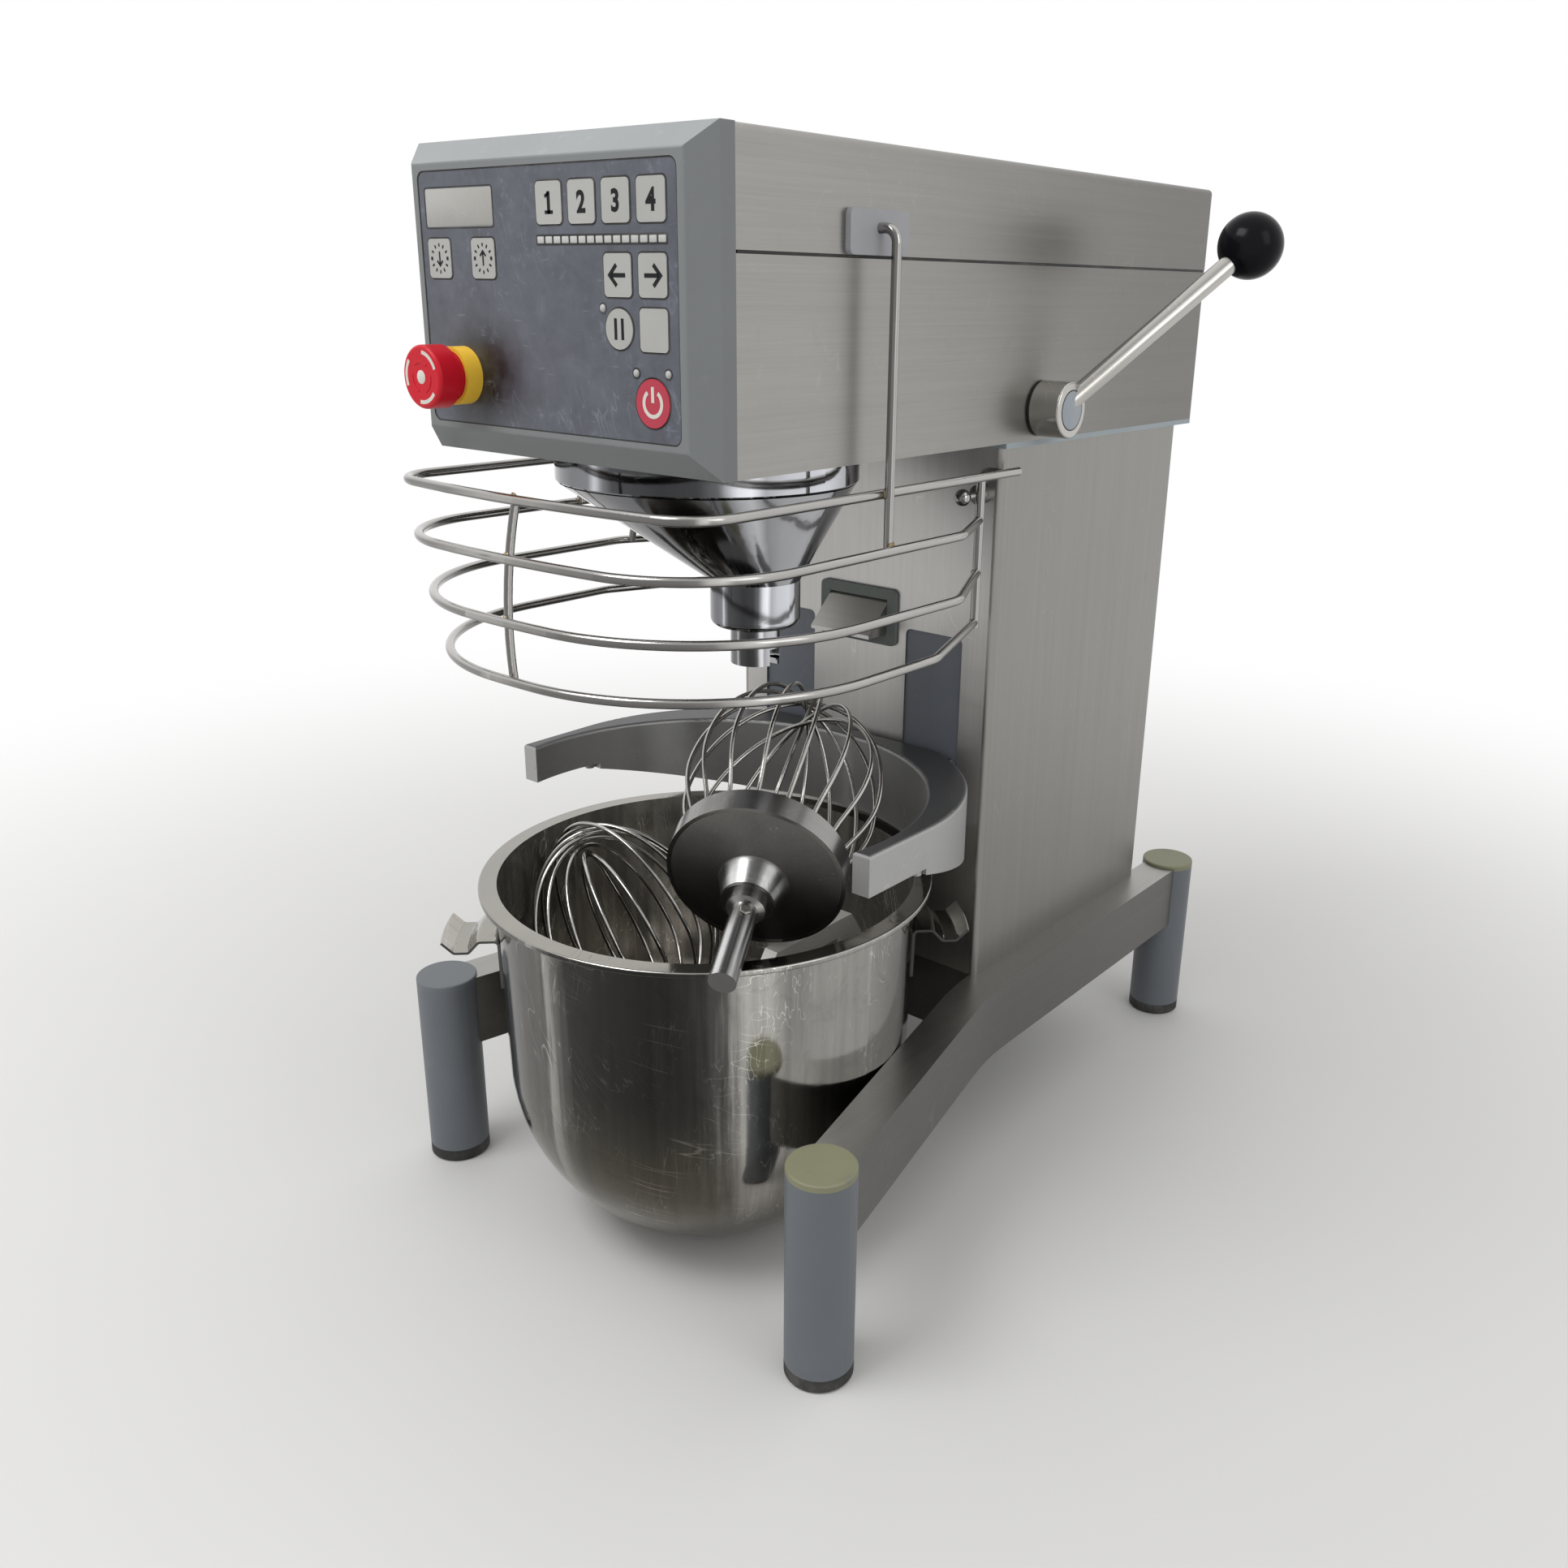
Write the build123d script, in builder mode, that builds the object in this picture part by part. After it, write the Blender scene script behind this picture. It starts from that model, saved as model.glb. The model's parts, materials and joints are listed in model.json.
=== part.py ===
"""Bench planetary mixer with a wheel-less table stand, a lifting yoke, a wire bowl guard and a loose bowl.

The model is laid out on a working frame: x = 0 is the plane of symmetry, y = 0 the front plane of the steel
head, z = 0 the table.  Every piece is moved on export so that the origin is the bottom centre of the box that
holds the whole machine.  +X is the lever side, -Y the operator's side, +Z is up.  Lengths are millimetres.
"""
import os
from math import asin, atan2, cos, degrees, hypot, pi, radians, sin, sqrt

from build123d import *

os.makedirs("parts", exist_ok=True)

# ---------------------------------------------------------------- driving dimensions
sheet = 1.5                 # stainless sheet of head and column
run_fit = 0.05              # radial clearance of a shaft or pin in its bore
slack = 0.4                 # clearance round pieces that move past each other

head_half_w = 136.0
head_depth = 614.0
head_bottom = 617.0
seam_z = 743.5
seam_gap = 2.0
head_top = 811.5
head_edge_r = 4.0
lid_lip = 12.0              # how far the lid's inner lip hangs into the tray
lid_lip_t = 1.8

bezel_skirt = 12.0
bezel_depth = 28.2
bezel_side_bevel = 12.3
bezel_top_bevel = 14.0
bezel_foot_bevel = 16.0
bezel_wall = 2.0
bezel_edge_r = 2.5
foil_half_w = 118.5
foil_bottom = 637.0
foil_top = 793.0
foil_corner_r = 6.0
foil_t = 1.0
foil_sunk = 0.5

key_w = 23.0
key_h = 24.0
key_corner_r = 3.0
key_pitch = 29.1
key_first_x = 10.4
number_row_z = 771.3
arrow_row_z = 731.0
pause_row_z = 701.2
timer_row_z = 740.2
timer_down_x = -99.8
timer_up_x = -54.9
power_z = 660.3
power_x = 95.3
power_d = 28.0
key_proud = 0.6
key_flange = 1.5
key_flange_t = 2.0
key_travel = 0.8
board_t = 1.6

stop_x = -82.0
stop_z = 668.0
stop_cap_r = 20.0
stop_cap_len = 16.0
stop_reach = 34.0           # cap face ahead of the bezel face
stop_collar_r = 18.4
stop_collar_len = 12.0
stop_barrel_r = 10.9
stop_stem_r = 7.0
stop_travel = 5.0

column_half_w = 134.0
column_front = 297.0
column_rear = 588.0
column_corner_r = 6.0
column_lap = 10.0           # how much of the column's top the head tray covers all round
gasket_t = 4.0
gasket_w = 10.0
slot_in = 49.0              # inner edge of each lift slot, from the symmetry plane
slot_out = 105.0
slot_bottom = 330.0
slot_top = 461.0
hood_half_w = 30.8
hood_top = 482.0
hood_h = 29.0
hood_reach = 27.0
hood_rim = 9.0
hood_rim_t = 3.0

beam_w = 33.0
beam_h = 62.0
beam_top = 168.0
beam_wall = 2.0
beam_bend_y = 277.0
beam_bend_r = 300.0
post_r = 25.0
post_h = 171.0
post_wall = 4.0
post_cap_t = 5.0
foot_h = 11.0
front_post_x = 206.7
front_post_y = 1.8
rear_post_x = 145.0
rear_post_y = 643.0
tray_wall = 3.0

chassis_t = 8.0
planet_y = 115.8
orbit = 45.0                # tool axis from the planet axis
gear_module = 2.0
pinion_teeth = 15
band_r = 108.5
band_wall = 8.5
band_h = 21.0
cone_gap = 1.0
cone_top_r = 106.8
cone_foot_z = 529.0
cone_wall = 4.0
neck_r = 32.4
neck_foot_z = 496.0
main_shaft_r = 12.5
main_bearing_r = 26.0
bearing_w = 15.0
housing_r = 36.0
housing_h = 44.0
flange_t = 8.0
spindle_r = 12.0
spindle_nose_r = 8.0
spindle_bearing_r = 22.0
gear_w = 12.0
socket_r = 18.0
socket_bore_r = 10.0
socket_bore_len = 24.0
socket_foot_z = 468.0
socket_slot_w = 8.0
tool_shaft_r = 9.7

motor_y = 440.0
motor_r = 58.0
motor_foot_z = 512.0
motor_top_z = 668.0
motor_flange_r = 68.0
motor_shaft_r = 8.0
motor_pulley_r = 30.0
belt_ratio = 3
pulley_z = 692.0
pulley_w = 20.0
belt_t = 4.0
belt_gap = 0.3

lever_y = 344.0
lever_z = 640.5
lever_hub_r = 21.0
lever_hub_len = 25.0
lever_hub_gap = 2.0
lever_rod_r = 7.5
lever_foot = 17.0           # where the rod's line crosses the hub's axis, from the head's side
lever_len = 200.0
lever_tilt = 23.0           # outward lean of the rod, degrees
lever_rise = 41.0           # rod's angle over the horizontal seen from the side, degrees
knob_r = 25.0
lift_shaft_r = 10.0
lift_gear_teeth = 30
lift_gear_module = 2.5
lift_gear_w = 16.0
lift_gear_x = 100.0
lift_travel = 65.0
bush_wall = 3.5

yoke_bowl_gap = 6.0         # how much wider the yoke is than the bowl's mouth
yoke_tip_y = 79.0
yoke_arm_x = 182.0
yoke_bottom = 332.0
yoke_top = 363.0
yoke_bow_y = 150.0          # where the straight outer side of an arm starts to curve
yoke_edge_r = 3.0
yoke_root_x = 85.0          # half width of the yoke where it meets the column
yoke_step_y = 147.0         # the arms' slim front ends here
yoke_step = 5.0
yoke_belly_y = 262.0        # behind this the yoke has its full depth
yoke_depth = 65.0
yoke_wall_gap = 2.0         # air between the yoke and the column
tongue_in = 57.0
tongue_out = 99.0
tongue_h = 25.0
ear_pin_r = 4.0
ear_pin_drop = 5.0
guide_x = 78.0
guide_y = 322.0
guide_r = 8.0
carriage_d = 32.0
cover_t = 1.5
cover_lap = 4.0

wire_r = 3.25
upright_r = 2.9
rear_r = 3.45               # rear upright
rear_below = 3.6            # how far a rear upright reaches below the lowest ring's middle
ring_half_w = (147.5, 158.0, 174.0, 170.0)
ring_front = (-58.0, -66.0, -69.7, -68.2)
ring_corner_r = (36.0, 87.0, 140.0, 153.0)
ring_z = (597.7, 561.2, 521.1, 482.0)
ring_bow_r = 900.0
ring_rear_x = 128.0
ring_rear_y = 277.0
ring_bend_y = (None, 210.0, 185.0, 165.0)
ring_bend_r = 30.0
ring_free_y = 297.0         # free ends of the top ring, beside the column
guard_pin_y = 128.5
guard_pin_z = 761.6
guard_rod_x = 153.0
guard_rod_bend_r = 9.0
guard_pin_in = 2.0          # how far the hinge pin reaches inside the head's side
plate_w = 60.0
plate_h = 27.0
plate_t = 4.0
catch_ball_r = 6.4
catch_ball_y = 268.0
catch_x = 118.0
catch_z = 578.0
catch_base_r = 7.5
catch_base_len = 9.0
catch_neck_r = 3.0

bowl_y = 109.0
bowl_beam_gap = 0.74        # air between the bowl's belly and the beams' inner faces
bowl_flare = 3.0            # how much wider the bowl is at its rim than at its belly
bowl_h = 293.0
bowl_wall = 1.6
bowl_rim_w = 12.4
bowl_rim_t = 4.5
bowl_turn_r = 150.0         # radius of the rounded lower wall
bowl_turn_z = 143.0
ear_angle = 44.3            # the ears' line, turned from +X, degrees
ear_w = 54.0
ear_t = 2.0
ear_top = 246.0
ear_plate_h = 40.0
ear_reach_off = 30.6         # how far the ears' tips stand out past the rim

# ---------------------------------------------------------------- derived values
ring_teeth = pinion_teeth + round(2 * orbit / gear_module)
lift_gear_r = lift_gear_teeth * lift_gear_module / 2
pulley_r = belt_ratio * motor_pulley_r
knob_x = head_half_w + lever_foot + lever_len * sin(radians(lever_tilt))
side_reach = max(front_post_x, rear_post_x) + post_r
machine_mid_x = (max(knob_x + knob_r, side_reach) - side_reach) / 2
machine_mid_y = (max(rear_post_y + post_r, head_depth) + min(ring_front) - wire_r) / 2
stand = Location((-machine_mid_x, -machine_mid_y, 0))
hood_bottom = hood_top - hood_h
beam_run = beam_bend_y - front_post_y
beam_splay = front_post_x - rear_post_x
beam_off = (front_post_x * beam_run - beam_splay * (bowl_y - front_post_y)) / hypot(beam_run, beam_splay)
bowl_belly_r = beam_off - beam_w / 2 - bowl_beam_gap
bowl_r = bowl_belly_r + bowl_flare
bowl_rim_r = bowl_r + bowl_rim_w
ear_reach = bowl_rim_r + ear_reach_off      # radius of the ears' tips
yoke_inner_r = bowl_r + yoke_bowl_gap


def level(z):
    """Horizontal sketch plane at height z: sketch (x, y) are machine x and y, extrusion goes up."""
    return Plane.XY.offset(z)


def front(y):
    """Vertical sketch plane across the machine at depth y: sketch (x, y) are x and z, extrusion goes forward."""
    return Plane.XZ.offset(-y)


def side(x):
    """Vertical sketch plane along the machine at x: sketch (x, y) are y and z, extrusion goes to +X."""
    return Plane.YZ.offset(x)


def save(piece, label):
    """Stand the finished piece on the shared origin, label it and write its STEP file."""
    solid = piece.part.moved(stand)
    solid.label = label
    export_step(solid, f"parts/{label}.step")


# ---------------------------------------------------------------- stand: posts, caps, feet, beams, tray
post_spots = [(s * front_post_x, front_post_y) for s in (-1, 1)]
post_spots += [(s * rear_post_x, rear_post_y) for s in (-1, 1)]

with BuildPart() as posts:
    with BuildSketch(level(foot_h)):
        with Locations(*post_spots):
            Circle(post_r)
            Circle(post_r - post_wall, mode=Mode.SUBTRACT)
    extrude(amount=post_h - post_cap_t - foot_h)
save(posts, "posts")

with BuildPart() as post_caps:
    with BuildSketch(level(post_h - post_cap_t)):
        with Locations(*post_spots):
            Circle(post_r)
    extrude(amount=post_cap_t)
    fillet(post_caps.faces().filter_by(Axis.Z).group_by(Axis.Z)[-1].edges(), post_cap_t * 0.3)
save(post_caps, "post_caps")

with BuildPart() as feet:
    with BuildSketch(level(0)):
        with Locations(*post_spots):
            Circle(post_r)
    extrude(amount=foot_h)
    chamfer(feet.faces().filter_by(Axis.Z).group_by(Axis.Z)[0].edges(), foot_h * 0.15)
save(feet, "feet")


def beam(hand):
    """One bent box-section beam from the front post to the rear post, notched round both."""
    rail = [(hand * front_post_x, front_post_y), (hand * rear_post_x, beam_bend_y), (hand * rear_post_x, rear_post_y)]
    with BuildPart() as bar:
        for width, low, height in (
            (beam_w, beam_top - beam_h, beam_h),
            (beam_w - 2 * beam_wall, beam_top - beam_h + beam_wall, beam_h - 2 * beam_wall),
        ):
            with BuildSketch(level(low)):
                with BuildLine():
                    FilletPolyline(*rail, radius=beam_bend_r)
                trace(line_width=width)
            extrude(amount=height, mode=Mode.ADD if width == beam_w else Mode.SUBTRACT)
        with BuildSketch(level(0)):
            with Locations(rail[0], rail[-1]):
                Circle(post_r)
        extrude(amount=post_h, mode=Mode.SUBTRACT)
    return bar


save(beam(-1), "beam_left")
save(beam(1), "beam_right")

tray_half_w = rear_post_x - beam_w / 2
tray_mid_y = (column_front + column_rear) / 2
tray_d = column_rear - column_front
with BuildPart() as base_tray:
    with BuildSketch(level(beam_top - beam_h)):
        with Locations((0, tray_mid_y)):
            Rectangle(2 * tray_half_w, tray_d)
            Rectangle(2 * (tray_half_w - tray_wall), tray_d - 2 * tray_wall, mode=Mode.SUBTRACT)
    extrude(amount=beam_h)
    with BuildSketch(level(beam_top - tray_wall)):
        with Locations((0, tray_mid_y)):
            Rectangle(2 * tray_half_w, tray_d)
    extrude(amount=tray_wall)
save(base_tray, "base_tray")

# ---------------------------------------------------------------- column: shell, front panel, gaskets, hood
column_top = head_bottom - gasket_t
column_mid_y = (column_front + column_rear) / 2
column_d = column_rear - column_front
column_h = column_top - beam_top
panel_half_w = column_half_w - column_corner_r
with BuildPart() as column_shell:
    with BuildSketch(level(beam_top)):
        with Locations((0, column_mid_y)):
            RectangleRounded(2 * column_half_w, column_d, column_corner_r)
            RectangleRounded(
                2 * (column_half_w - sheet), column_d - 2 * sheet, column_corner_r - sheet, mode=Mode.SUBTRACT
            )
        with Locations((0, column_front)):
            Rectangle(2 * panel_half_w, 4 * sheet, mode=Mode.SUBTRACT)
    extrude(amount=column_h)
save(column_shell, "column_shell")

slot_mid_x = (slot_in + slot_out) / 2
slot_mid_z = (slot_bottom + slot_top) / 2
hood_mid_z = (hood_top + hood_bottom) / 2
hood_hole_h = hood_top - hood_bottom + 2 * slack
with BuildPart() as column_front_panel:
    with BuildSketch(front(column_front + sheet)):
        with Locations((0, beam_top + column_h / 2)):
            Rectangle(2 * panel_half_w, column_h)
        with Locations((-slot_mid_x, slot_mid_z), (slot_mid_x, slot_mid_z)):
            RectangleRounded(slot_out - slot_in, slot_top - slot_bottom, 5, mode=Mode.SUBTRACT)
        with Locations((0, hood_mid_z)):
            Rectangle(2 * hood_half_w, hood_hole_h, mode=Mode.SUBTRACT)
    extrude(amount=sheet)
save(column_front_panel, "column_front")

gasket_rear = head_depth - 3.0
with BuildPart() as gaskets:
    with BuildSketch(level(column_top)):
        with Locations((0, (column_front + gasket_rear) / 2)):
            Rectangle(2 * head_half_w, gasket_rear - column_front)
            Rectangle(
                2 * (head_half_w - gasket_w), gasket_rear - column_front - 2 * gasket_w, mode=Mode.SUBTRACT
            )
    extrude(amount=gasket_t)
    with BuildSketch(front(column_front)):
        with Locations((0, hood_mid_z)):
            RectangleRounded(2 * (hood_half_w + hood_rim), hood_hole_h + 2 * hood_rim, 5)
            Rectangle(2 * hood_half_w, hood_hole_h, mode=Mode.SUBTRACT)
    extrude(amount=hood_rim_t)
save(gaskets, "gaskets")

hood_lip = 3.0
hood_wall = 1.5
with BuildPart() as sensor_hood:
    with BuildSketch(side(-hood_half_w)):
        Polygon(
            (column_front + 2 * sheet, hood_bottom),
            (column_front - hood_reach, hood_bottom),
            (column_front - hood_reach, hood_bottom + hood_lip),
            (column_front, hood_top),
            (column_front + 2 * sheet, hood_top),
            align=None,
        )
    extrude(amount=2 * hood_half_w)
    with BuildSketch(side(-hood_half_w + hood_wall)):
        Polygon(
            (column_front + 3 * sheet, hood_bottom - 1),
            (column_front - hood_reach + 2 * hood_wall, hood_bottom - 1),
            (column_front - hood_reach + 2 * hood_wall, hood_bottom + hood_lip),
            (column_front, hood_top - 2 * hood_wall),
            (column_front + 3 * sheet, hood_top - 2 * hood_wall),
            align=None,
        )
    extrude(amount=2 * (hood_half_w - hood_wall), mode=Mode.SUBTRACT)
save(sensor_hood, "sensor_hood")

# ---------------------------------------------------------------- head: tray, lid, chassis
band_inner_r = band_r - band_wall
with BuildPart() as head_tray:
    with BuildSketch(level(head_bottom)):
        with Locations((0, head_depth / 2)):
            Rectangle(2 * head_half_w, head_depth)
    extrude(amount=seam_z - head_bottom)
    fillet(head_tray.edges().filter_by(Axis.Z).group_by(Axis.Y)[-1], head_edge_r)
    with BuildSketch(level(head_bottom + sheet)):
        with Locations((0, head_depth / 2 - sheet)):
            Rectangle(2 * (head_half_w - sheet), head_depth)
    extrude(amount=seam_z - head_bottom, mode=Mode.SUBTRACT)
    with BuildSketch(level(head_bottom)):
        with Locations((0, planet_y)):
            Circle(band_inner_r)
        with Locations((0, column_mid_y)):
            Rectangle(2 * (column_half_w - column_lap), column_d - 2 * column_lap)
    extrude(amount=sheet, mode=Mode.SUBTRACT)
    with BuildSketch(side(head_half_w - 2 * sheet)):
        with Locations((lever_y, lever_z)):
            Circle(lift_shaft_r + bush_wall)
    extrude(amount=3 * sheet, mode=Mode.SUBTRACT)
save(head_tray, "head_tray")

lid_bottom = seam_z + seam_gap
with BuildPart() as head_lid:
    with BuildSketch(level(lid_bottom)):
        with Locations((0, head_depth / 2)):
            Rectangle(2 * head_half_w, head_depth)
    extrude(amount=head_top - lid_bottom)
    fillet(head_lid.edges().filter_by(Axis.Z).group_by(Axis.Y)[-1], head_edge_r)
    fillet(head_lid.faces().sort_by(Axis.Z)[-1].edges().group_by(Axis.Y)[1:], head_edge_r)
    with BuildSketch(level(lid_bottom)):
        with Locations((0, head_depth / 2 - sheet)):
            Rectangle(2 * (head_half_w - sheet), head_depth)
    extrude(amount=head_top - lid_bottom - sheet, mode=Mode.SUBTRACT)
    with BuildSketch(level(seam_z - lid_lip)):
        with Locations((0, head_depth / 2)):
            Rectangle(2 * (head_half_w - sheet), head_depth - 2 * head_edge_r)
            Rectangle(
                2 * (head_half_w - sheet - lid_lip_t), head_depth, mode=Mode.SUBTRACT
            )
    extrude(amount=2 * lid_lip)
    with BuildSketch(side(-head_half_w)):
        with Locations((guard_pin_y, guard_pin_z)):
            Circle(wire_r + run_fit)
    extrude(amount=2 * head_half_w, mode=Mode.SUBTRACT)
save(head_lid, "head_lid")

chassis_z = head_bottom + sheet
chassis_top = chassis_z + chassis_t
rack_y = lever_y + lift_gear_r
with BuildPart() as chassis:
    with BuildSketch(level(chassis_z)):
        with Locations((0, head_depth / 2)):
            Rectangle(2 * (head_half_w - 3 * sheet), head_depth - 8 * sheet)
        with Locations((0, motor_y)):
            Circle(motor_r + 1, mode=Mode.SUBTRACT)
        with Locations(*[(s * lift_gear_x, lever_y + lift_gear_r / 2) for s in (-1, 1)]):
            Rectangle(lift_gear_w + 8, 3 * lift_gear_r + 10, mode=Mode.SUBTRACT)
    extrude(amount=chassis_t)
    with BuildSketch(level(chassis_z)):
        with Locations((0, planet_y)):
            Circle(housing_r)
    extrude(amount=chassis_t + housing_h)
    with BuildSketch(level(chassis_z)):
        with Locations((0, planet_y)):
            Circle(main_bearing_r)
    extrude(amount=chassis_t + housing_h, mode=Mode.SUBTRACT)
save(chassis, "chassis")

# ---------------------------------------------------------------- bezel, foil, keys, board, emergency stop
bezel_h = head_top - head_bottom
bezel_mid_z = (head_top + head_bottom) / 2
face_h = bezel_h - bezel_top_bevel - bezel_foot_bevel
face_mid_z = bezel_mid_z + (bezel_foot_bevel - bezel_top_bevel) / 2
foil_h = foil_top - foil_bottom
foil_mid_z = (foil_top + foil_bottom) / 2
foil_front = -bezel_depth + foil_sunk
wall_front = foil_front + foil_t
wall_back = wall_front + bezel_wall

square_keys = {f"key_{n + 1}": (key_first_x + n * key_pitch, number_row_z) for n in range(4)}
square_keys["key_left"] = (key_first_x + 2 * key_pitch, arrow_row_z)
square_keys["key_right"] = (key_first_x + 3 * key_pitch, arrow_row_z)
square_keys["key_blank"] = (key_first_x + 3 * key_pitch, pause_row_z)
square_keys["key_timer_down"] = (timer_down_x, timer_row_z)
square_keys["key_timer_up"] = (timer_up_x, timer_row_z)
round_keys = {
    "key_pause": (key_first_x + 2 * key_pitch, pause_row_z, key_w / 2),
    "key_power": (power_x, power_z, power_d / 2),
}


def key_holes():
    """Cut the openings of all keys and of the emergency stop's barrel out of the sketch in hand."""
    with Locations(*square_keys.values()):
        RectangleRounded(key_w + 2 * slack, key_h + 2 * slack, key_corner_r, mode=Mode.SUBTRACT)
    for x, z, r in round_keys.values():
        with Locations((x, z)):
            Circle(r + slack, mode=Mode.SUBTRACT)
    with Locations((stop_x, stop_z)):
        Circle(stop_barrel_r, mode=Mode.SUBTRACT)


with BuildPart() as bezel:
    with BuildSketch(front(0)):
        with Locations((0, bezel_mid_z)):
            Rectangle(2 * head_half_w, bezel_h)
    extrude(amount=bezel_skirt)
    with BuildSketch(front(-bezel_skirt)):
        with Locations((0, bezel_mid_z)):
            Rectangle(2 * head_half_w, bezel_h)
    with BuildSketch(front(-bezel_depth)):
        with Locations((0, face_mid_z)):
            Rectangle(2 * (head_half_w - bezel_side_bevel), face_h)
    loft()
    fillet(bezel.edges().group_by(Axis.Y)[0], bezel_edge_r)
    with BuildSketch(front(0)):
        with Locations((0, foil_mid_z)):
            Rectangle(2 * foil_half_w, foil_h)
    extrude(amount=-wall_back, mode=Mode.SUBTRACT)
    with BuildSketch(front(wall_front)):
        with Locations((0, foil_mid_z)):
            RectangleRounded(2 * foil_half_w, foil_h, foil_corner_r)
    extrude(amount=2 * foil_t, mode=Mode.SUBTRACT)
    with BuildSketch(front(wall_back)):
        with Locations((0, foil_mid_z)):
            Rectangle(2 * foil_half_w, foil_h)
        key_holes()
    cut = extrude(amount=bezel_wall, mode=Mode.PRIVATE)
    with BuildSketch(front(wall_back)):
        with Locations((0, foil_mid_z)):
            Rectangle(2 * foil_half_w, foil_h)
    extrude(amount=bezel_wall, mode=Mode.SUBTRACT)
    add(cut)
save(bezel, "bezel")

with BuildPart() as panel_foil:
    with BuildSketch(front(wall_front)):
        with Locations((0, foil_mid_z)):
            RectangleRounded(2 * foil_half_w, foil_h, foil_corner_r)
        key_holes()
    extrude(amount=foil_t)
save(panel_foil, "panel_foil")

key_front = foil_front - key_proud
for label, (x, z) in square_keys.items():
    with BuildPart() as key:
        with BuildSketch(front(wall_back)):
            with Locations((x, z)):
                RectangleRounded(key_w, key_h, key_corner_r)
        extrude(amount=wall_back - key_front)
        with BuildSketch(front(wall_back + key_flange_t)):
            with Locations((x, z)):
                Rectangle(key_w + 2 * key_flange, key_h + 2 * key_flange)
        extrude(amount=key_flange_t)
    save(key, label)

for label, (x, z, r) in round_keys.items():
    with BuildPart() as key:
        with BuildSketch(front(wall_back)):
            with Locations((x, z)):
                Circle(r)
        extrude(amount=wall_back - key_front)
        with BuildSketch(front(wall_back + key_flange_t)):
            with Locations((x, z)):
                Circle(r + key_flange)
        extrude(amount=key_flange_t)
    save(key, label)

board_front = wall_back + key_flange_t + 2 * key_travel
with BuildPart() as key_board:
    with BuildSketch(front(board_front + board_t)):
        with Locations((0, foil_mid_z)):
            Rectangle(2 * foil_half_w, foil_h)
        with Locations((stop_x, stop_z)):
            Circle(stop_collar_r + 4, mode=Mode.SUBTRACT)
    extrude(amount=board_t)
save(key_board, "key_board")

stop_neck_r = stop_collar_r - 3.0
stop_pocket = stop_collar_len / 2
stop_face = -bezel_depth - stop_reach
stop_cap_back = stop_face + stop_cap_len
with BuildPart() as stop_collar:
    with BuildSketch(front(-bezel_depth + foil_sunk)):
        with Locations((stop_x, stop_z)):
            Circle(stop_collar_r)
    extrude(amount=stop_collar_len)
    with BuildSketch(front(-bezel_depth + foil_sunk - stop_collar_len)):
        with Locations((stop_x, stop_z)):
            Circle(stop_neck_r + slack)
    extrude(amount=-stop_pocket, mode=Mode.SUBTRACT)
    with BuildSketch(front(foil_front)):
        with Locations((stop_x, stop_z)):
            Circle(stop_barrel_r)
    extrude(amount=-(-bezel_skirt - foil_front))
    with BuildSketch(front(bezel_skirt)):
        with Locations((stop_x, stop_z)):
            Circle(stop_stem_r + run_fit)
    extrude(amount=2 * bezel_depth, mode=Mode.SUBTRACT)
save(stop_collar, "stop_collar")

with BuildPart() as stop_cap:
    with BuildSketch(front(stop_cap_back)):
        with Locations((stop_x, stop_z)):
            Circle(stop_cap_r)
    extrude(amount=stop_cap_len)
    fillet(stop_cap.edges().group_by(Axis.Y)[0], 2.5)
    with BuildSketch(front(stop_cap_back)):
        with Locations((stop_x, stop_z)):
            Circle(stop_neck_r)
    neck_len = foil_front - stop_collar_len + stop_pocket - stop_travel - 0.5 - stop_cap_back
    extrude(amount=-neck_len)
    with BuildSketch(front(stop_cap_back)):
        with Locations((stop_x, stop_z)):
            Circle(stop_stem_r)
    extrude(amount=stop_cap_back + bezel_skirt)
save(stop_cap, "stop_cap")

# ---------------------------------------------------------------- planetary drive
band_foot = head_bottom - band_h
cone_top = band_foot - cone_gap
deck_bottom = cone_top - flange_t
planet_at = (0, planet_y)
spindle_at = (orbit, planet_y)


def involute(angle):
    """Involute function of a pressure angle in radians."""
    return sin(angle) / cos(angle) - angle


def gear_outline(teeth, module, addendum, dedendum, play):
    """Outline points of an involute gear, first tooth on the sketch's +x, thinned by play at each flank."""
    pitch_r = teeth * module / 2
    base_r = pitch_r * cos(radians(20))
    foot_r = pitch_r - dedendum
    radii = [foot_r, max(foot_r, base_r), (max(foot_r, base_r) + pitch_r) / 2, pitch_r, pitch_r + addendum]
    flank = []
    for radius in radii:
        pressure = 0 if radius <= base_r else atan2(sqrt(radius**2 - base_r**2), base_r)
        half = pi / (2 * teeth) + involute(radians(20)) - involute(pressure) - play / pitch_r
        flank.append((radius, half))
    if foot_r >= base_r:
        flank = flank[1:]
    points = []
    for tooth in range(teeth):
        centre = 2 * pi * tooth / teeth
        for radius, half in flank:
            points.append((radius * cos(centre - half), radius * sin(centre - half)))
        for radius, half in reversed(flank):
            points.append((radius * cos(centre + half), radius * sin(centre + half)))
    return points


with BuildPart() as chrome_band:
    with BuildSketch(level(band_foot)):
        with Locations(planet_at):
            Circle(band_r)
            Circle(band_inner_r, mode=Mode.SUBTRACT)
    extrude(amount=band_h)
    chamfer(chrome_band.edges().filter_by(GeomType.CIRCLE).group_by(Axis.Z)[0], 1.0)
save(chrome_band, "chrome_band")

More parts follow.
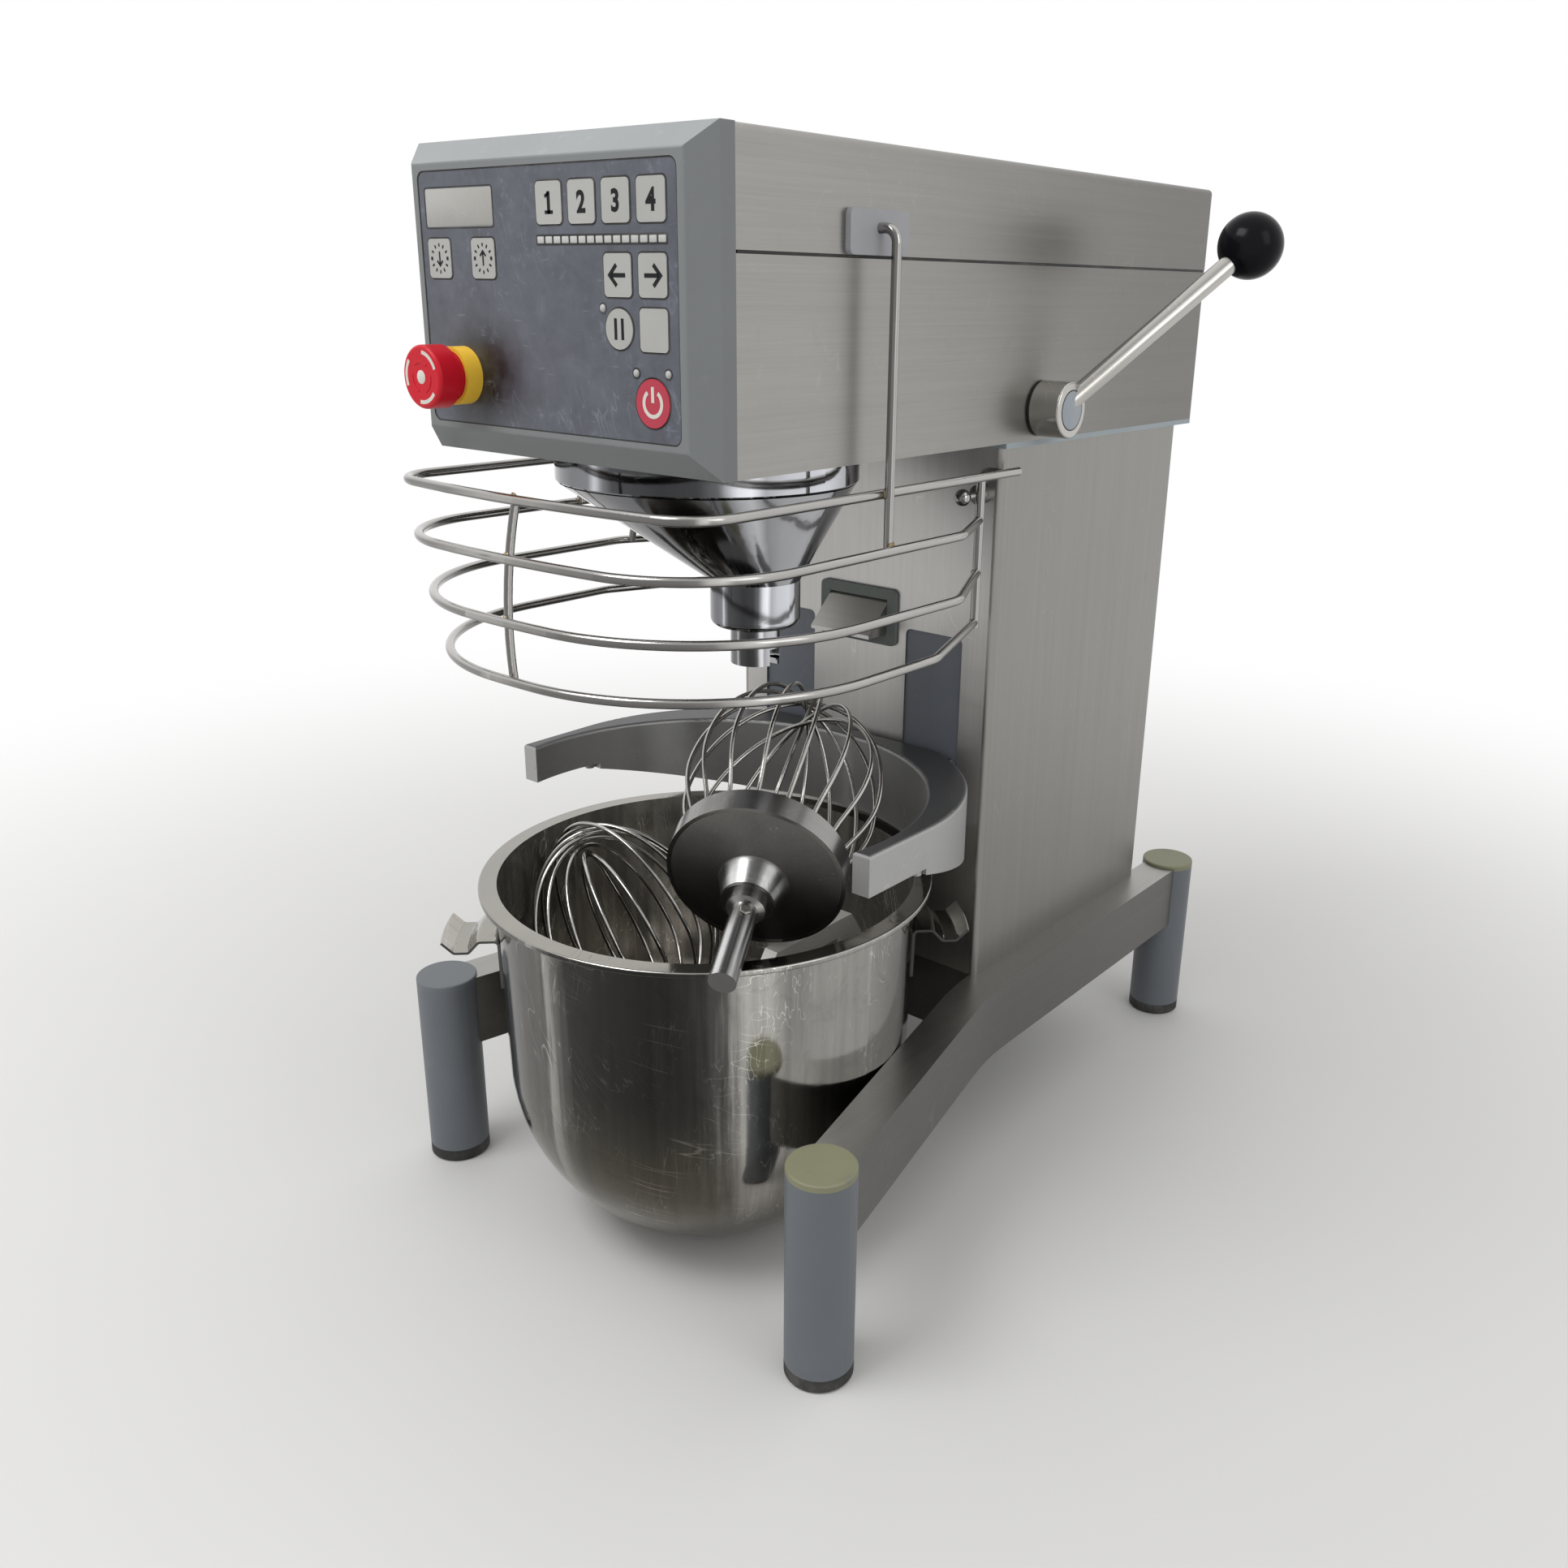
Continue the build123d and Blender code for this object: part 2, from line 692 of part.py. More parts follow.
ring_gear_foot = band_foot + 5.0
gear_play = 0.12
with BuildPart() as ring_gear:
    with BuildSketch(level(ring_gear_foot)):
        with Locations(planet_at):
            Circle(band_inner_r)
            Polygon(
                *gear_outline(ring_teeth, gear_module, 1.25 * gear_module, 0.9 * gear_module, -gear_play),
                align=None,
                mode=Mode.SUBTRACT,
            )
    extrude(amount=chassis_z - ring_gear_foot)
save(ring_gear, "ring_gear")

main_bearing_z = [chassis_top + 2.0, chassis_z + chassis_t + housing_h - bearing_w - 2.0]
with BuildPart() as main_bearings:
    for z in main_bearing_z:
        with BuildSketch(level(z)):
            with Locations(planet_at):
                Circle(main_bearing_r)
                Circle(main_shaft_r + run_fit, mode=Mode.SUBTRACT)
        extrude(amount=bearing_w)
save(main_bearings, "main_bearings")

main_collar_r = 19.0
with BuildPart() as main_shaft:
    with BuildSketch(level(deck_bottom - flange_t)):
        with Locations(planet_at):
            Circle(main_collar_r)
    extrude(amount=flange_t)
    with BuildSketch(level(deck_bottom)):
        with Locations(planet_at):
            Circle(main_shaft_r)
    extrude(amount=pulley_z + pulley_w + 6 - deck_bottom)
save(main_shaft, "main_shaft")

with BuildPart() as drive_pulley:
    with BuildSketch(level(pulley_z)):
        with Locations(planet_at):
            Circle(pulley_r)
            Circle(main_shaft_r, mode=Mode.SUBTRACT)
    extrude(amount=pulley_w)
    with BuildSketch(level(pulley_z + pulley_w)):
        with Locations(planet_at):
            Circle(pulley_r - 8)
            Circle(main_shaft_r + 14, mode=Mode.SUBTRACT)
    extrude(amount=-(pulley_w - flange_t), mode=Mode.SUBTRACT)
    with BuildSketch(level(pulley_z)):
        with Locations(planet_at):
            with PolarLocations((pulley_r + main_shaft_r + 6) / 2, 5):
                Circle(12)
    extrude(amount=pulley_w, mode=Mode.SUBTRACT)
save(drive_pulley, "drive_pulley")

lower_bearing_z = neck_foot_z + 4.0
cone_inner_top_r = 91.0
cone_inner_foot_z = lower_bearing_z + bearing_w + 18.0
cone_slope = orbit / (cone_top - cone_foot_z)
with BuildPart() as planet_cone:
    with BuildSketch(level(neck_foot_z)):
        with Locations(spindle_at):
            Circle(neck_r)
    extrude(amount=cone_foot_z - neck_foot_z)
    fillet(planet_cone.faces().sort_by(Axis.Z)[0].edges(), 6)
    with BuildSketch(level(cone_foot_z)):
        with Locations(spindle_at):
            Circle(neck_r)
    with BuildSketch(level(cone_top)):
        with Locations(planet_at):
            Circle(cone_top_r)
    loft()
    with BuildSketch(level(cone_inner_foot_z)):
        with Locations((orbit - cone_slope * (cone_inner_foot_z - cone_foot_z), planet_y)):
            Circle(spindle_bearing_r + 2)
    with BuildSketch(level(deck_bottom)):
        with Locations((cone_slope * flange_t, planet_y)):
            Circle(cone_inner_top_r)
    loft(mode=Mode.SUBTRACT)
    with BuildSketch(level(lower_bearing_z)):
        with Locations(spindle_at):
            Circle(spindle_bearing_r)
    extrude(amount=cone_top - lower_bearing_z, mode=Mode.SUBTRACT)
    with BuildSketch(level(neck_foot_z)):
        with Locations(spindle_at):
            Circle(spindle_r + 2)
    extrude(amount=flange_t, mode=Mode.SUBTRACT)
    with BuildSketch(level(deck_bottom)):
        with Locations(planet_at):
            Circle(main_shaft_r)
    extrude(amount=flange_t, mode=Mode.SUBTRACT)
save(planet_cone, "planet_cone")

with BuildPart() as spindle_bearings:
    for z in (lower_bearing_z, cone_top - bearing_w):
        with BuildSketch(level(z)):
            with Locations(spindle_at):
                Circle(spindle_bearing_r)
                Circle(spindle_r + run_fit, mode=Mode.SUBTRACT)
        extrude(amount=bearing_w)
save(spindle_bearings, "spindle_bearings")

pinion_z = ring_gear_foot + 1.0
socket_top_z = neck_foot_z - cone_gap
with BuildPart() as spindle:
    with BuildSketch(level(socket_top_z)):
        with Locations(spindle_at):
            Circle(spindle_r)
    extrude(amount=pinion_z - socket_top_z)
    with BuildSketch(level(pinion_z)):
        with Locations(spindle_at):
            Circle(spindle_nose_r)
    extrude(amount=gear_w)
save(spindle, "spindle")

with BuildPart() as pinion:
    with BuildSketch(level(pinion_z)):
        with Locations(spindle_at):
            Polygon(
                *gear_outline(pinion_teeth, gear_module, 0.85 * gear_module, 1.25 * gear_module, gear_play),
                align=None,
            )
            Circle(spindle_nose_r, mode=Mode.SUBTRACT)
    extrude(amount=gear_w)
save(pinion, "pinion")

with BuildPart() as tool_socket:
    with BuildSketch(level(socket_foot_z)):
        with Locations(spindle_at):
            Circle(socket_r)
    extrude(amount=socket_top_z - socket_foot_z)
    chamfer(tool_socket.edges().group_by(Axis.Z)[-1], 1.5)
    with BuildSketch(level(socket_foot_z)):
        with Locations(spindle_at):
            Circle(socket_bore_r)
    extrude(amount=socket_bore_len, mode=Mode.SUBTRACT)
    with BuildSketch(side(orbit)):
        with Locations((planet_y, socket_foot_z + socket_slot_w / 2)):
            Rectangle(socket_slot_w, 2 * socket_slot_w)
        with Locations((planet_y + socket_slot_w / 4, socket_foot_z + socket_slot_w)):
            Rectangle(1.5 * socket_slot_w, socket_slot_w)
    extrude(amount=2 * socket_r, mode=Mode.SUBTRACT)
save(tool_socket, "tool_socket")

motor_at = (0, motor_y)
with BuildPart() as motor:
    with BuildSketch(level(motor_foot_z)):
        with Locations(motor_at):
            Circle(motor_r)
    extrude(amount=motor_top_z - motor_foot_z)
    with BuildSketch(level(chassis_top)):
        with Locations(motor_at):
            Circle(motor_flange_r)
    extrude(amount=flange_t)
    with BuildSketch(level(motor_top_z)):
        with Locations(motor_at):
            Circle(motor_shaft_r + run_fit)
    extrude(amount=-32, mode=Mode.SUBTRACT)
save(motor, "motor")

with BuildPart() as motor_pulley:
    with BuildSketch(level(motor_top_z - 28)):
        with Locations(motor_at):
            Circle(motor_shaft_r)
    extrude(amount=pulley_z + pulley_w + 4 - motor_top_z + 28)
    with BuildSketch(level(pulley_z)):
        with Locations(motor_at):
            Circle(motor_pulley_r)
    extrude(amount=pulley_w)
save(motor_pulley, "motor_pulley")

centres = motor_y - planet_y
belt_lean = asin((pulley_r - motor_pulley_r) / centres)


def belt_loop(extra, mode):
    """Fill the shape that a belt lying off both pulleys by a distance would enclose."""
    near = pulley_r + extra
    far = motor_pulley_r + extra
    with Locations(planet_at):
        Circle(near, mode=mode)
    with Locations(motor_at):
        Circle(far, mode=mode)
    rise = sin(belt_lean)
    run = cos(belt_lean)
    Polygon(
        (-near * run, planet_y + near * rise),
        (near * run, planet_y + near * rise),
        (far * run, motor_y + far * rise),
        (-far * run, motor_y + far * rise),
        align=None,
        mode=mode,
    )


with BuildPart() as belt:
    with BuildSketch(level(pulley_z + 2)):
        belt_loop(belt_gap + belt_t, Mode.ADD)
        belt_loop(belt_gap, Mode.SUBTRACT)
    extrude(amount=pulley_w - 4)
save(belt, "belt")

# ---------------------------------------------------------------- lift: lever, cross shaft, carriage, yoke
hub_x = head_half_w + lever_hub_gap
rod_foot = Vector(head_half_w + lever_foot, lever_y, lever_z)
rise = radians(lever_rise)
rod_dir = Vector(
    sin(radians(lever_tilt)), cos(radians(lever_tilt)) * cos(rise), cos(radians(lever_tilt)) * sin(rise)
)
knob_at = rod_foot + rod_dir * lever_len
rod_in_knob = 15.0
shaft_in_hub = 17.0
with BuildPart() as lever_arm:
    with BuildSketch(side(hub_x)):
        with Locations((lever_y, lever_z)):
            Circle(lever_hub_r)
    extrude(amount=lever_hub_len)
    fillet(lever_arm.faces().sort_by(Axis.X)[-1].edges(), 2)
    with BuildSketch(Plane(origin=rod_foot, z_dir=rod_dir)):
        Circle(lever_rod_r)
    extrude(amount=lever_len - knob_r + rod_in_knob)
    with BuildSketch(side(hub_x)):
        with Locations((lever_y, lever_z)):
            Circle(lift_shaft_r)
    extrude(amount=shaft_in_hub, mode=Mode.SUBTRACT)
save(lever_arm, "lever_arm")

with BuildPart() as lever_knob:
    with Locations(knob_at):
        Sphere(knob_r)
    with BuildSketch(Plane(origin=rod_foot, z_dir=rod_dir)):
        Circle(lever_rod_r)
    extrude(amount=lever_len - knob_r + rod_in_knob, mode=Mode.SUBTRACT)
save(lever_knob, "lever_knob")

shaft_start_x = -(head_half_w - sheet - 0.5)
with BuildPart() as lift_shaft:
    with BuildSketch(side(shaft_start_x)):
        with Locations((lever_y, lever_z)):
            Circle(lift_shaft_r)
    extrude(amount=hub_x + shaft_in_hub - shaft_start_x)
    for hand in (-1, 1):
        with BuildSketch(side(hand * lift_gear_x - lift_gear_w / 2)):
            with Locations((lever_y, lever_z)):
                Polygon(
                    *gear_outline(
                        lift_gear_teeth,
                        lift_gear_module,
                        0.85 * lift_gear_module,
                        1.25 * lift_gear_module,
                        gear_play,
                    ),
                    align=None,
                )
        extrude(amount=lift_gear_w)
save(lift_shaft, "lift_shaft")

bush_len = 12.0
bush_starts = (-(head_half_w - sheet), hub_x - 0.5 - bush_len)
with BuildPart() as lift_bushes:
    for x in bush_starts:
        with BuildSketch(side(x)):
            with Locations((lever_y, lever_z)):
                Circle(lift_shaft_r + bush_wall)
                Circle(lift_shaft_r + run_fit, mode=Mode.SUBTRACT)
        extrude(amount=bush_len)
save(lift_bushes, "lift_bushes")

yoke_back = column_front - yoke_wall_gap
yoke_foot = yoke_top - yoke_depth
carriage_front = column_front + 9.0
carriage_rear = carriage_front + carriage_d
carriage_foot = 300.0
carriage_top = 400.0
carriage_half_w = lift_gear_x + lift_gear_w / 2
pin_angle = radians(ear_angle)
with BuildPart() as yoke:
    with BuildSketch(level(yoke_foot)):
        with BuildLine():
            Line((0, yoke_tip_y), (yoke_arm_x, yoke_tip_y))
            Line((yoke_arm_x, yoke_tip_y), (yoke_arm_x, yoke_bow_y))
            TangentArc((yoke_arm_x, yoke_bow_y), (yoke_root_x, yoke_back), tangent=(0, 1))
            Line((yoke_root_x, yoke_back), (0, yoke_back))
            mirror(about=Plane.YZ)
        make_face()
        with Locations((0, bowl_y)):
            Circle(yoke_inner_r, mode=Mode.SUBTRACT)
    extrude(amount=yoke_top - yoke_foot)
    with BuildSketch(side(-yoke_arm_x)):
        Polygon(
            (yoke_tip_y, yoke_foot),
            (yoke_belly_y, yoke_foot),
            (yoke_step_y, yoke_bottom - yoke_step),
            (yoke_step_y, yoke_bottom),
            (yoke_tip_y, yoke_bottom),
            align=None,
        )
    extrude(amount=2 * yoke_arm_x, mode=Mode.SUBTRACT)
    fillet(yoke.faces().filter_by(Axis.Z).sort_by(Axis.Z)[-1].edges(), yoke_edge_r)
    for hand in (-1, 1):
        tongue_x = hand * (tongue_in + tongue_out) / 2
        with BuildSketch(front(carriage_front)):
            with Locations((tongue_x, yoke_bottom + tongue_h / 2)):
                Rectangle(tongue_out - tongue_in, tongue_h)
        extrude(amount=carriage_front - yoke_back + 6)
        pin_r = yoke_inner_r + 9
        with BuildSketch(level(yoke_bottom)):
            with Locations((hand * pin_r * cos(pin_angle / 4), bowl_y + pin_r * sin(pin_angle / 4))):
                Circle(ear_pin_r)
        extrude(amount=-ear_pin_drop)
save(yoke, "yoke")

rack_pitch = pi * lift_gear_module
rack_foot = lever_z - lift_travel - 1.5 * rack_pitch
rack_top = lever_z + 1.5 * rack_pitch
rack_t = 13.0
rack_rear = rack_y + rack_t
rack_lean = sin(radians(20)) / cos(radians(20))
rack_add = 0.85 * lift_gear_module
rack_ded = 1.25 * lift_gear_module
with BuildPart() as carriage:
    with BuildSketch(level(carriage_foot)):
        with Locations((0, (carriage_front + carriage_rear) / 2)):
            Rectangle(2 * carriage_half_w, carriage_d)
    extrude(amount=carriage_top - carriage_foot)
    with BuildSketch(level(carriage_foot)):
        with Locations((0, (carriage_front + carriage_rear) / 2)):
            Rectangle(2 * (guide_x - guide_r - 6), carriage_d)
    extrude(amount=carriage_top - carriage_foot, mode=Mode.SUBTRACT)
    with BuildSketch(level(carriage_foot)):
        with Locations((0, (carriage_front + carriage_rear) / 2)):
            Rectangle(2 * (guide_x - guide_r - 6), carriage_d / 2)
    extrude(amount=carriage_d)
    for hand in (-1, 1):
        bar_x = hand * lift_gear_x - lift_gear_w / 2
        with BuildSketch(side(bar_x)):
            Polygon(
                (carriage_rear, carriage_foot),
                (rack_rear, carriage_foot),
                (rack_rear, rack_top),
                (rack_y + rack_ded, rack_top),
                (rack_y + rack_ded, carriage_top),
                (carriage_rear, carriage_top),
                align=None,
            )
            for tooth in range(round((rack_top - rack_foot) / rack_pitch)):
                z = lever_z + (1 - tooth) * rack_pitch + rack_pitch / 2
                if z - rack_pitch / 2 < rack_foot:
                    continue
                tip = rack_pitch / 4 - gear_play - rack_add * rack_lean
                root = rack_pitch / 4 - gear_play + rack_ded * rack_lean
                Polygon(
                    (rack_y + rack_ded, z - root),
                    (rack_y + rack_ded, z + root),
                    (rack_y - rack_add, z + tip),
                    (rack_y - rack_add, z - tip),
                    align=None,
                )
        extrude(amount=lift_gear_w)
    with BuildSketch(level(carriage_foot)):
        with Locations((-guide_x, guide_y), (guide_x, guide_y)):
            Circle(guide_r + run_fit)
    extrude(amount=carriage_top - carriage_foot, mode=Mode.SUBTRACT)
save(carriage, "carriage")

with BuildPart() as guide_rods:
    with BuildSketch(level(beam_top)):
        with Locations((-guide_x, guide_y), (guide_x, guide_y)):
            Circle(guide_r)
    extrude(amount=chassis_z - beam_top)
save(guide_rods, "guide_rods")

cover_foot = slot_bottom - cover_lap - lift_travel
cover_head = slot_top + cover_lap
cover_front = column_front + sheet + 0.5
with BuildPart() as slot_covers:
    with BuildSketch(front(cover_front + cover_t)):
        with Locations(*[(s * slot_mid_x, (cover_foot + cover_head) / 2) for s in (-1, 1)]):
            Rectangle(slot_out - slot_in + 2 * cover_lap, cover_head - cover_foot)
        with Locations(
            *[(s * (tongue_in + tongue_out) / 2, yoke_bottom + tongue_h / 2) for s in (-1, 1)]
        ):
            Rectangle(tongue_out - tongue_in, tongue_h, mode=Mode.SUBTRACT)
    extrude(amount=cover_t)
    with BuildSketch(front(carriage_front)):
        with Locations(*[(s * (slot_in + 3), carriage_foot + 30) for s in (-1, 1)]):
            Rectangle(6, 60)
    extrude(amount=carriage_front - cover_front - cover_t)
save(slot_covers, "slot_covers")

# ---------------------------------------------------------------- guard: plates, cage, catches
plate_z = lid_bottom + plate_h / 2
with BuildPart() as guard_plates:
    for hand in (-1, 1):
        inner = head_half_w if hand > 0 else -head_half_w - plate_t
        with BuildSketch(side(inner)):
            with Locations((guard_pin_y, plate_z)):
                RectangleRounded(plate_w, plate_h, 4)
            with Locations((guard_pin_y, guard_pin_z)):
                Circle(wire_r + run_fit, mode=Mode.SUBTRACT)
        extrude(amount=plate_t)
save(guard_plates, "guard_plates")


def bow(n):
    """Half angle of a ring's front bow and the depth of its corner centres."""
    reach = ring_half_w[n] - ring_corner_r[n]
    inner = ring_bow_r - ring_corner_r[n]
    return degrees(asin(reach / inner)), ring_front[n] + ring_bow_r - sqrt(inner**2 - reach**2)


def ring_wire(n):
    """Lines of one ring of the guard, from its left end round the front to its right end."""
    w = ring_half_w[n]
    r = ring_corner_r[n]
    sweep_angle, corner_y = bow(n)
    CenterArc((0, ring_front[n] + ring_bow_r), ring_bow_r, 270, sweep_angle)
    CenterArc((w - r, corner_y), r, 270 + sweep_angle, 90 - sweep_angle)
    if ring_bend_y[n] is None:
        Line((w, corner_y), (w, ring_free_y))
    else:
        turn = atan2(w - ring_rear_x, ring_rear_y - ring_bend_y[n])
        back = ring_bend_r * sin(turn / 2) / cos(turn / 2)
        bend_y = ring_bend_y[n] - back
        Line((w, corner_y), (w, bend_y))
        CenterArc((w - ring_bend_r, bend_y), ring_bend_r, 0, degrees(turn))
        exit_x = w - ring_bend_r + ring_bend_r * cos(turn)
        Line((exit_x, bend_y + ring_bend_r * sin(turn)), (ring_rear_x, ring_rear_y))
    mirror(about=Plane.YZ)


weld = 1.5                  # how deep two welded wires run into each other
beside = 2 * wire_r - weld
upright_x = -5.0
with BuildPart() as guard_cage:
    for n in range(4):
        with BuildLine(level(ring_z[n])) as path:
            ring_wire(n)
        tail = path.wires()[0]
        with BuildSketch(Plane(origin=tail @ 0, z_dir=tail % 0)):
            Circle(wire_r)
        sweep(path=tail)
    for hand in (-1, 1):
        with BuildLine(front(guard_pin_y)) as path:
            FilletPolyline(
                (hand * (head_half_w - guard_pin_in), guard_pin_z),
                (hand * guard_rod_x, guard_pin_z),
                (hand * guard_rod_x, ring_z[1]),
                radius=guard_rod_bend_r,
            )
        tail = path.wires()[0]
        with BuildSketch(Plane(origin=tail @ 0, z_dir=tail % 0)):
            Circle(wire_r)
        sweep(path=tail)
        with BuildLine(front(ring_rear_y)) as path:
            FilletPolyline(
                (hand * ring_rear_x, ring_z[3] - rear_below),
                (hand * ring_rear_x, ring_z[0]),
                (hand * ring_half_w[0], ring_z[0]),
                radius=8,
            )
        tail = path.wires()[0]
        with BuildSketch(Plane(origin=tail @ 0, z_dir=tail % 0)):
            Circle(rear_r)
        sweep(path=tail)
    with BuildLine() as path:
        Spline(*[(upright_x, ring_front[n] + beside, ring_z[n]) for n in range(4)])
    tail = path.wires()[0]
    with BuildSketch(Plane(origin=tail @ 0, z_dir=tail % 0)):
        Circle(upright_r)
    sweep(path=tail)
    with BuildLine() as path:
        Line(
            (-ring_half_w[1] + beside, ring_bend_y[1] - 20, ring_z[1]),
            (-ring_half_w[2] + beside + 6, ring_bend_y[1] - 20, ring_z[2]),
        )
    tail = path.wires()[0]
    with BuildSketch(Plane(origin=tail @ 0, z_dir=tail % 0)):
        Circle(upright_r)
    sweep(path=tail)
save(guard_cage, "guard_cage")

with BuildPart() as guard_catches:
    for hand in (-1, 1):
        with BuildSketch(front(column_front)):
            with Locations((hand * catch_x, catch_z)):
                Circle(catch_base_r)
        extrude(amount=catch_base_len)
        with BuildSketch(front(column_front - catch_base_len)):
            with Locations((hand * catch_x, catch_z)):
                Circle(catch_neck_r)
        extrude(amount=column_front - catch_base_len - catch_ball_y)
        with Locations((hand * catch_x, catch_ball_y, catch_z)):
            Sphere(catch_ball_r)
save(guard_catches, "guard_catches")

# ---------------------------------------------------------------- bowl and its ears
turn_x = bowl_belly_r - bowl_turn_r
foot_r = turn_x + sqrt(bowl_turn_r**2 - bowl_turn_z**2)
inner_turn = bowl_turn_r - bowl_wall
inner_foot_r = turn_x + sqrt(inner_turn**2 - (bowl_turn_z - bowl_wall) ** 2)
axis_of_bowl = Axis((0, bowl_y, 0), (0, 0, 1))
bowl_plane = Plane(origin=(0, bowl_y, 0), x_dir=(1, 0, 0), z_dir=(0, -1, 0))
with BuildPart() as bowl:
    with BuildSketch(bowl_plane):
        with BuildLine():
            Line((0, 0), (foot_r, 0))
            RadiusArc((foot_r, 0), (bowl_belly_r, bowl_turn_z), -bowl_turn_r)
            Line((bowl_belly_r, bowl_turn_z), (bowl_r, bowl_h - bowl_rim_t))
            Line((bowl_r, bowl_h - bowl_rim_t), (bowl_rim_r, bowl_h - bowl_rim_t))
            Line((bowl_rim_r, bowl_h - bowl_rim_t), (bowl_rim_r, bowl_h))
            Line((bowl_rim_r, bowl_h), (bowl_r - bowl_wall, bowl_h))
            Line((bowl_r - bowl_wall, bowl_h), (bowl_belly_r - bowl_wall, bowl_turn_z))
            RadiusArc((bowl_belly_r - bowl_wall, bowl_turn_z), (inner_foot_r, bowl_wall), inner_turn)
            Line((inner_foot_r, bowl_wall), (0, bowl_wall))
            Line((0, bowl_wall), (0, 0))
        make_face()
    revolve(axis=axis_of_bowl)
    fillet(bowl.edges().filter_by(GeomType.CIRCLE).sort_by(SortBy.RADIUS)[-2:], 1.5)
save(bowl, "bowl")

wall_lean = (bowl_r - bowl_belly_r) / (bowl_h - bowl_rim_t - bowl_turn_z)
ear_foot_z = ear_top - ear_plate_h
ear_top_r = bowl_belly_r + wall_lean * (ear_top - bowl_turn_z)
ear_foot_r = bowl_belly_r + wall_lean * (ear_foot_z - bowl_turn_z)
ear_off = ear_t / 2 + 0.02   # middle of the strap, a hair off the wall
with BuildPart() as bowl_ears:
    with BuildSketch(bowl_plane):
        with BuildLine():
            FilletPolyline(
                (ear_foot_r + ear_off, ear_foot_z),
                (ear_top_r + ear_off, ear_top),
                (ear_top_r + 16, ear_top),
                (ear_top_r + 24, ear_top - 9),
                (ear_reach - 9, ear_top - 9),
                (ear_reach, ear_top),
                radius=3.5,
            )
        trace(line_width=ear_t)
    revolve(axis=axis_of_bowl)
    with BuildSketch(level(0)):
        with Locations(Location((0, bowl_y), ear_angle)):
            Rectangle(3 * bowl_r, ear_w)
    extrude(amount=bowl_h, mode=Mode.INTERSECT)
save(bowl_ears, "bowl_ears")

# ---------------------------------------------------------------- loose tools lying in the bowl
whisk_wire_r = 1.7
whisk_loops = 8
loop_step = 2 * whisk_wire_r + 0.4
rest_gap = 0.02


def loop_plane(base, angle):
    """Sketch plane holding the tool's axis (sketch y), turned about that axis by an angle in degrees."""
    across = base.x_dir * cos(radians(angle)) + base.y_dir * sin(radians(angle))
    return Plane(origin=base.origin, x_dir=across, z_dir=across.cross(base.z_dir))


def balloon(base, foot, widest, widest_at, length):
    """Whisk wires: flat loops about the tool's axis, stacked at the far end so that they cross without touching."""
    with BuildPart() as wires:
        for n in range(whisk_loops):
            top = length - n * loop_step
            with BuildLine(loop_plane(base, n * 180 / whisk_loops)) as path:
                for s in (-1, 1):
                    Bezier(
                        (s * foot, 0),
                        (s * foot, widest_at * 0.3),
                        (s * widest, widest_at * 0.5),
                        (s * widest, widest_at),
                    )
                    Bezier(
                        (s * widest, widest_at),
                        (s * widest, (widest_at + top) / 2),
                        (s * widest * 0.6, top),
                        (0, top),
                    )
            tail = path.wires()[0]
            with BuildSketch(Plane(origin=tail @ 0, z_dir=tail % 0)):
                Circle(whisk_wire_r)
            sweep(path=tail)
    return wires


def turned(base, profile):
    """Solid of revolution about a tool's axis; the profile gives (radius, height along the axis) corners."""
    with BuildPart() as body:
        with BuildSketch(loop_plane(base, 0)):
            Polygon(*profile, align=None)
        revolve(axis=Axis(base.origin, base.z_dir))
    return body


# first whisk: standing in the bowl on its shaft, wires up, leaning to the left wall
whisk_len = 190.0
whisk_widest_r = 74.0
whisk_a_up = Vector(-0.52, -0.08, 0.85).normalized()
whisk_a_neck_r = 30.0
whisk_a_belly = 80.0
whisk_a_hub_r = whisk_a_neck_r + 6
whisk_a_hub_len = 26.0
whisk_a_shaft_len = 159.6
whisk_a_rise = tool_shaft_r * sqrt(1 - whisk_a_up.Z**2) + rest_gap
whisk_a_foot = Vector(bowl_belly_r * 0.352, bowl_y - 1.7, bowl_wall + whisk_a_rise)
whisk_a_base = Plane(origin=whisk_a_foot + whisk_a_up * whisk_a_shaft_len, z_dir=whisk_a_up)
save(balloon(whisk_a_base, whisk_a_neck_r, whisk_widest_r, whisk_a_belly, whisk_len), "whisk_a_wires")
whisk_a = turned(
    whisk_a_base,
    [
        (0, 0),
        (whisk_a_hub_r, 0),
        (whisk_a_hub_r, -whisk_a_hub_len / 2),
        (tool_shaft_r + 4, -whisk_a_hub_len),
        (tool_shaft_r, -whisk_a_hub_len - 4),
        (tool_shaft_r, -whisk_a_shaft_len),
        (0, -whisk_a_shaft_len),
    ],
)
save(whisk_a, "whisk_a_hub")

# second whisk: lying over the front rim, shaft out and down, wires up inside the yoke
disc_r = 65.0
disc_t = 20.0
disc_edge = 3.0
boss_r = 26.0
boss_foot_r = 22.0
collar_r = 19.0
neck_r = 14.0
boss_top = disc_t + 5
boss_foot = boss_top + 11
collar_foot = boss_foot + 11
neck_foot = collar_foot + 5
whisk_b_shaft_len = 120.0
whisk_b_neck_r = disc_r - 11
whisk_b_belly = 75.0
whisk_b_rest_len = 96.0      # from the disc to where the shaft lies on the rim
whisk_b_rise = 11.28         # height of the shaft's axis over the rim there
rest_angle = -41.03
rest_r = bowl_rim_r - 1.6
whisk_b_up = Vector(-0.4516, 0.8254, 0.3387).normalized()
rest_x = rest_r * cos(radians(rest_angle))
rest_y = bowl_y + rest_r * sin(radians(rest_angle))
whisk_b_rest = Vector(rest_x, rest_y, bowl_h + whisk_b_rise)
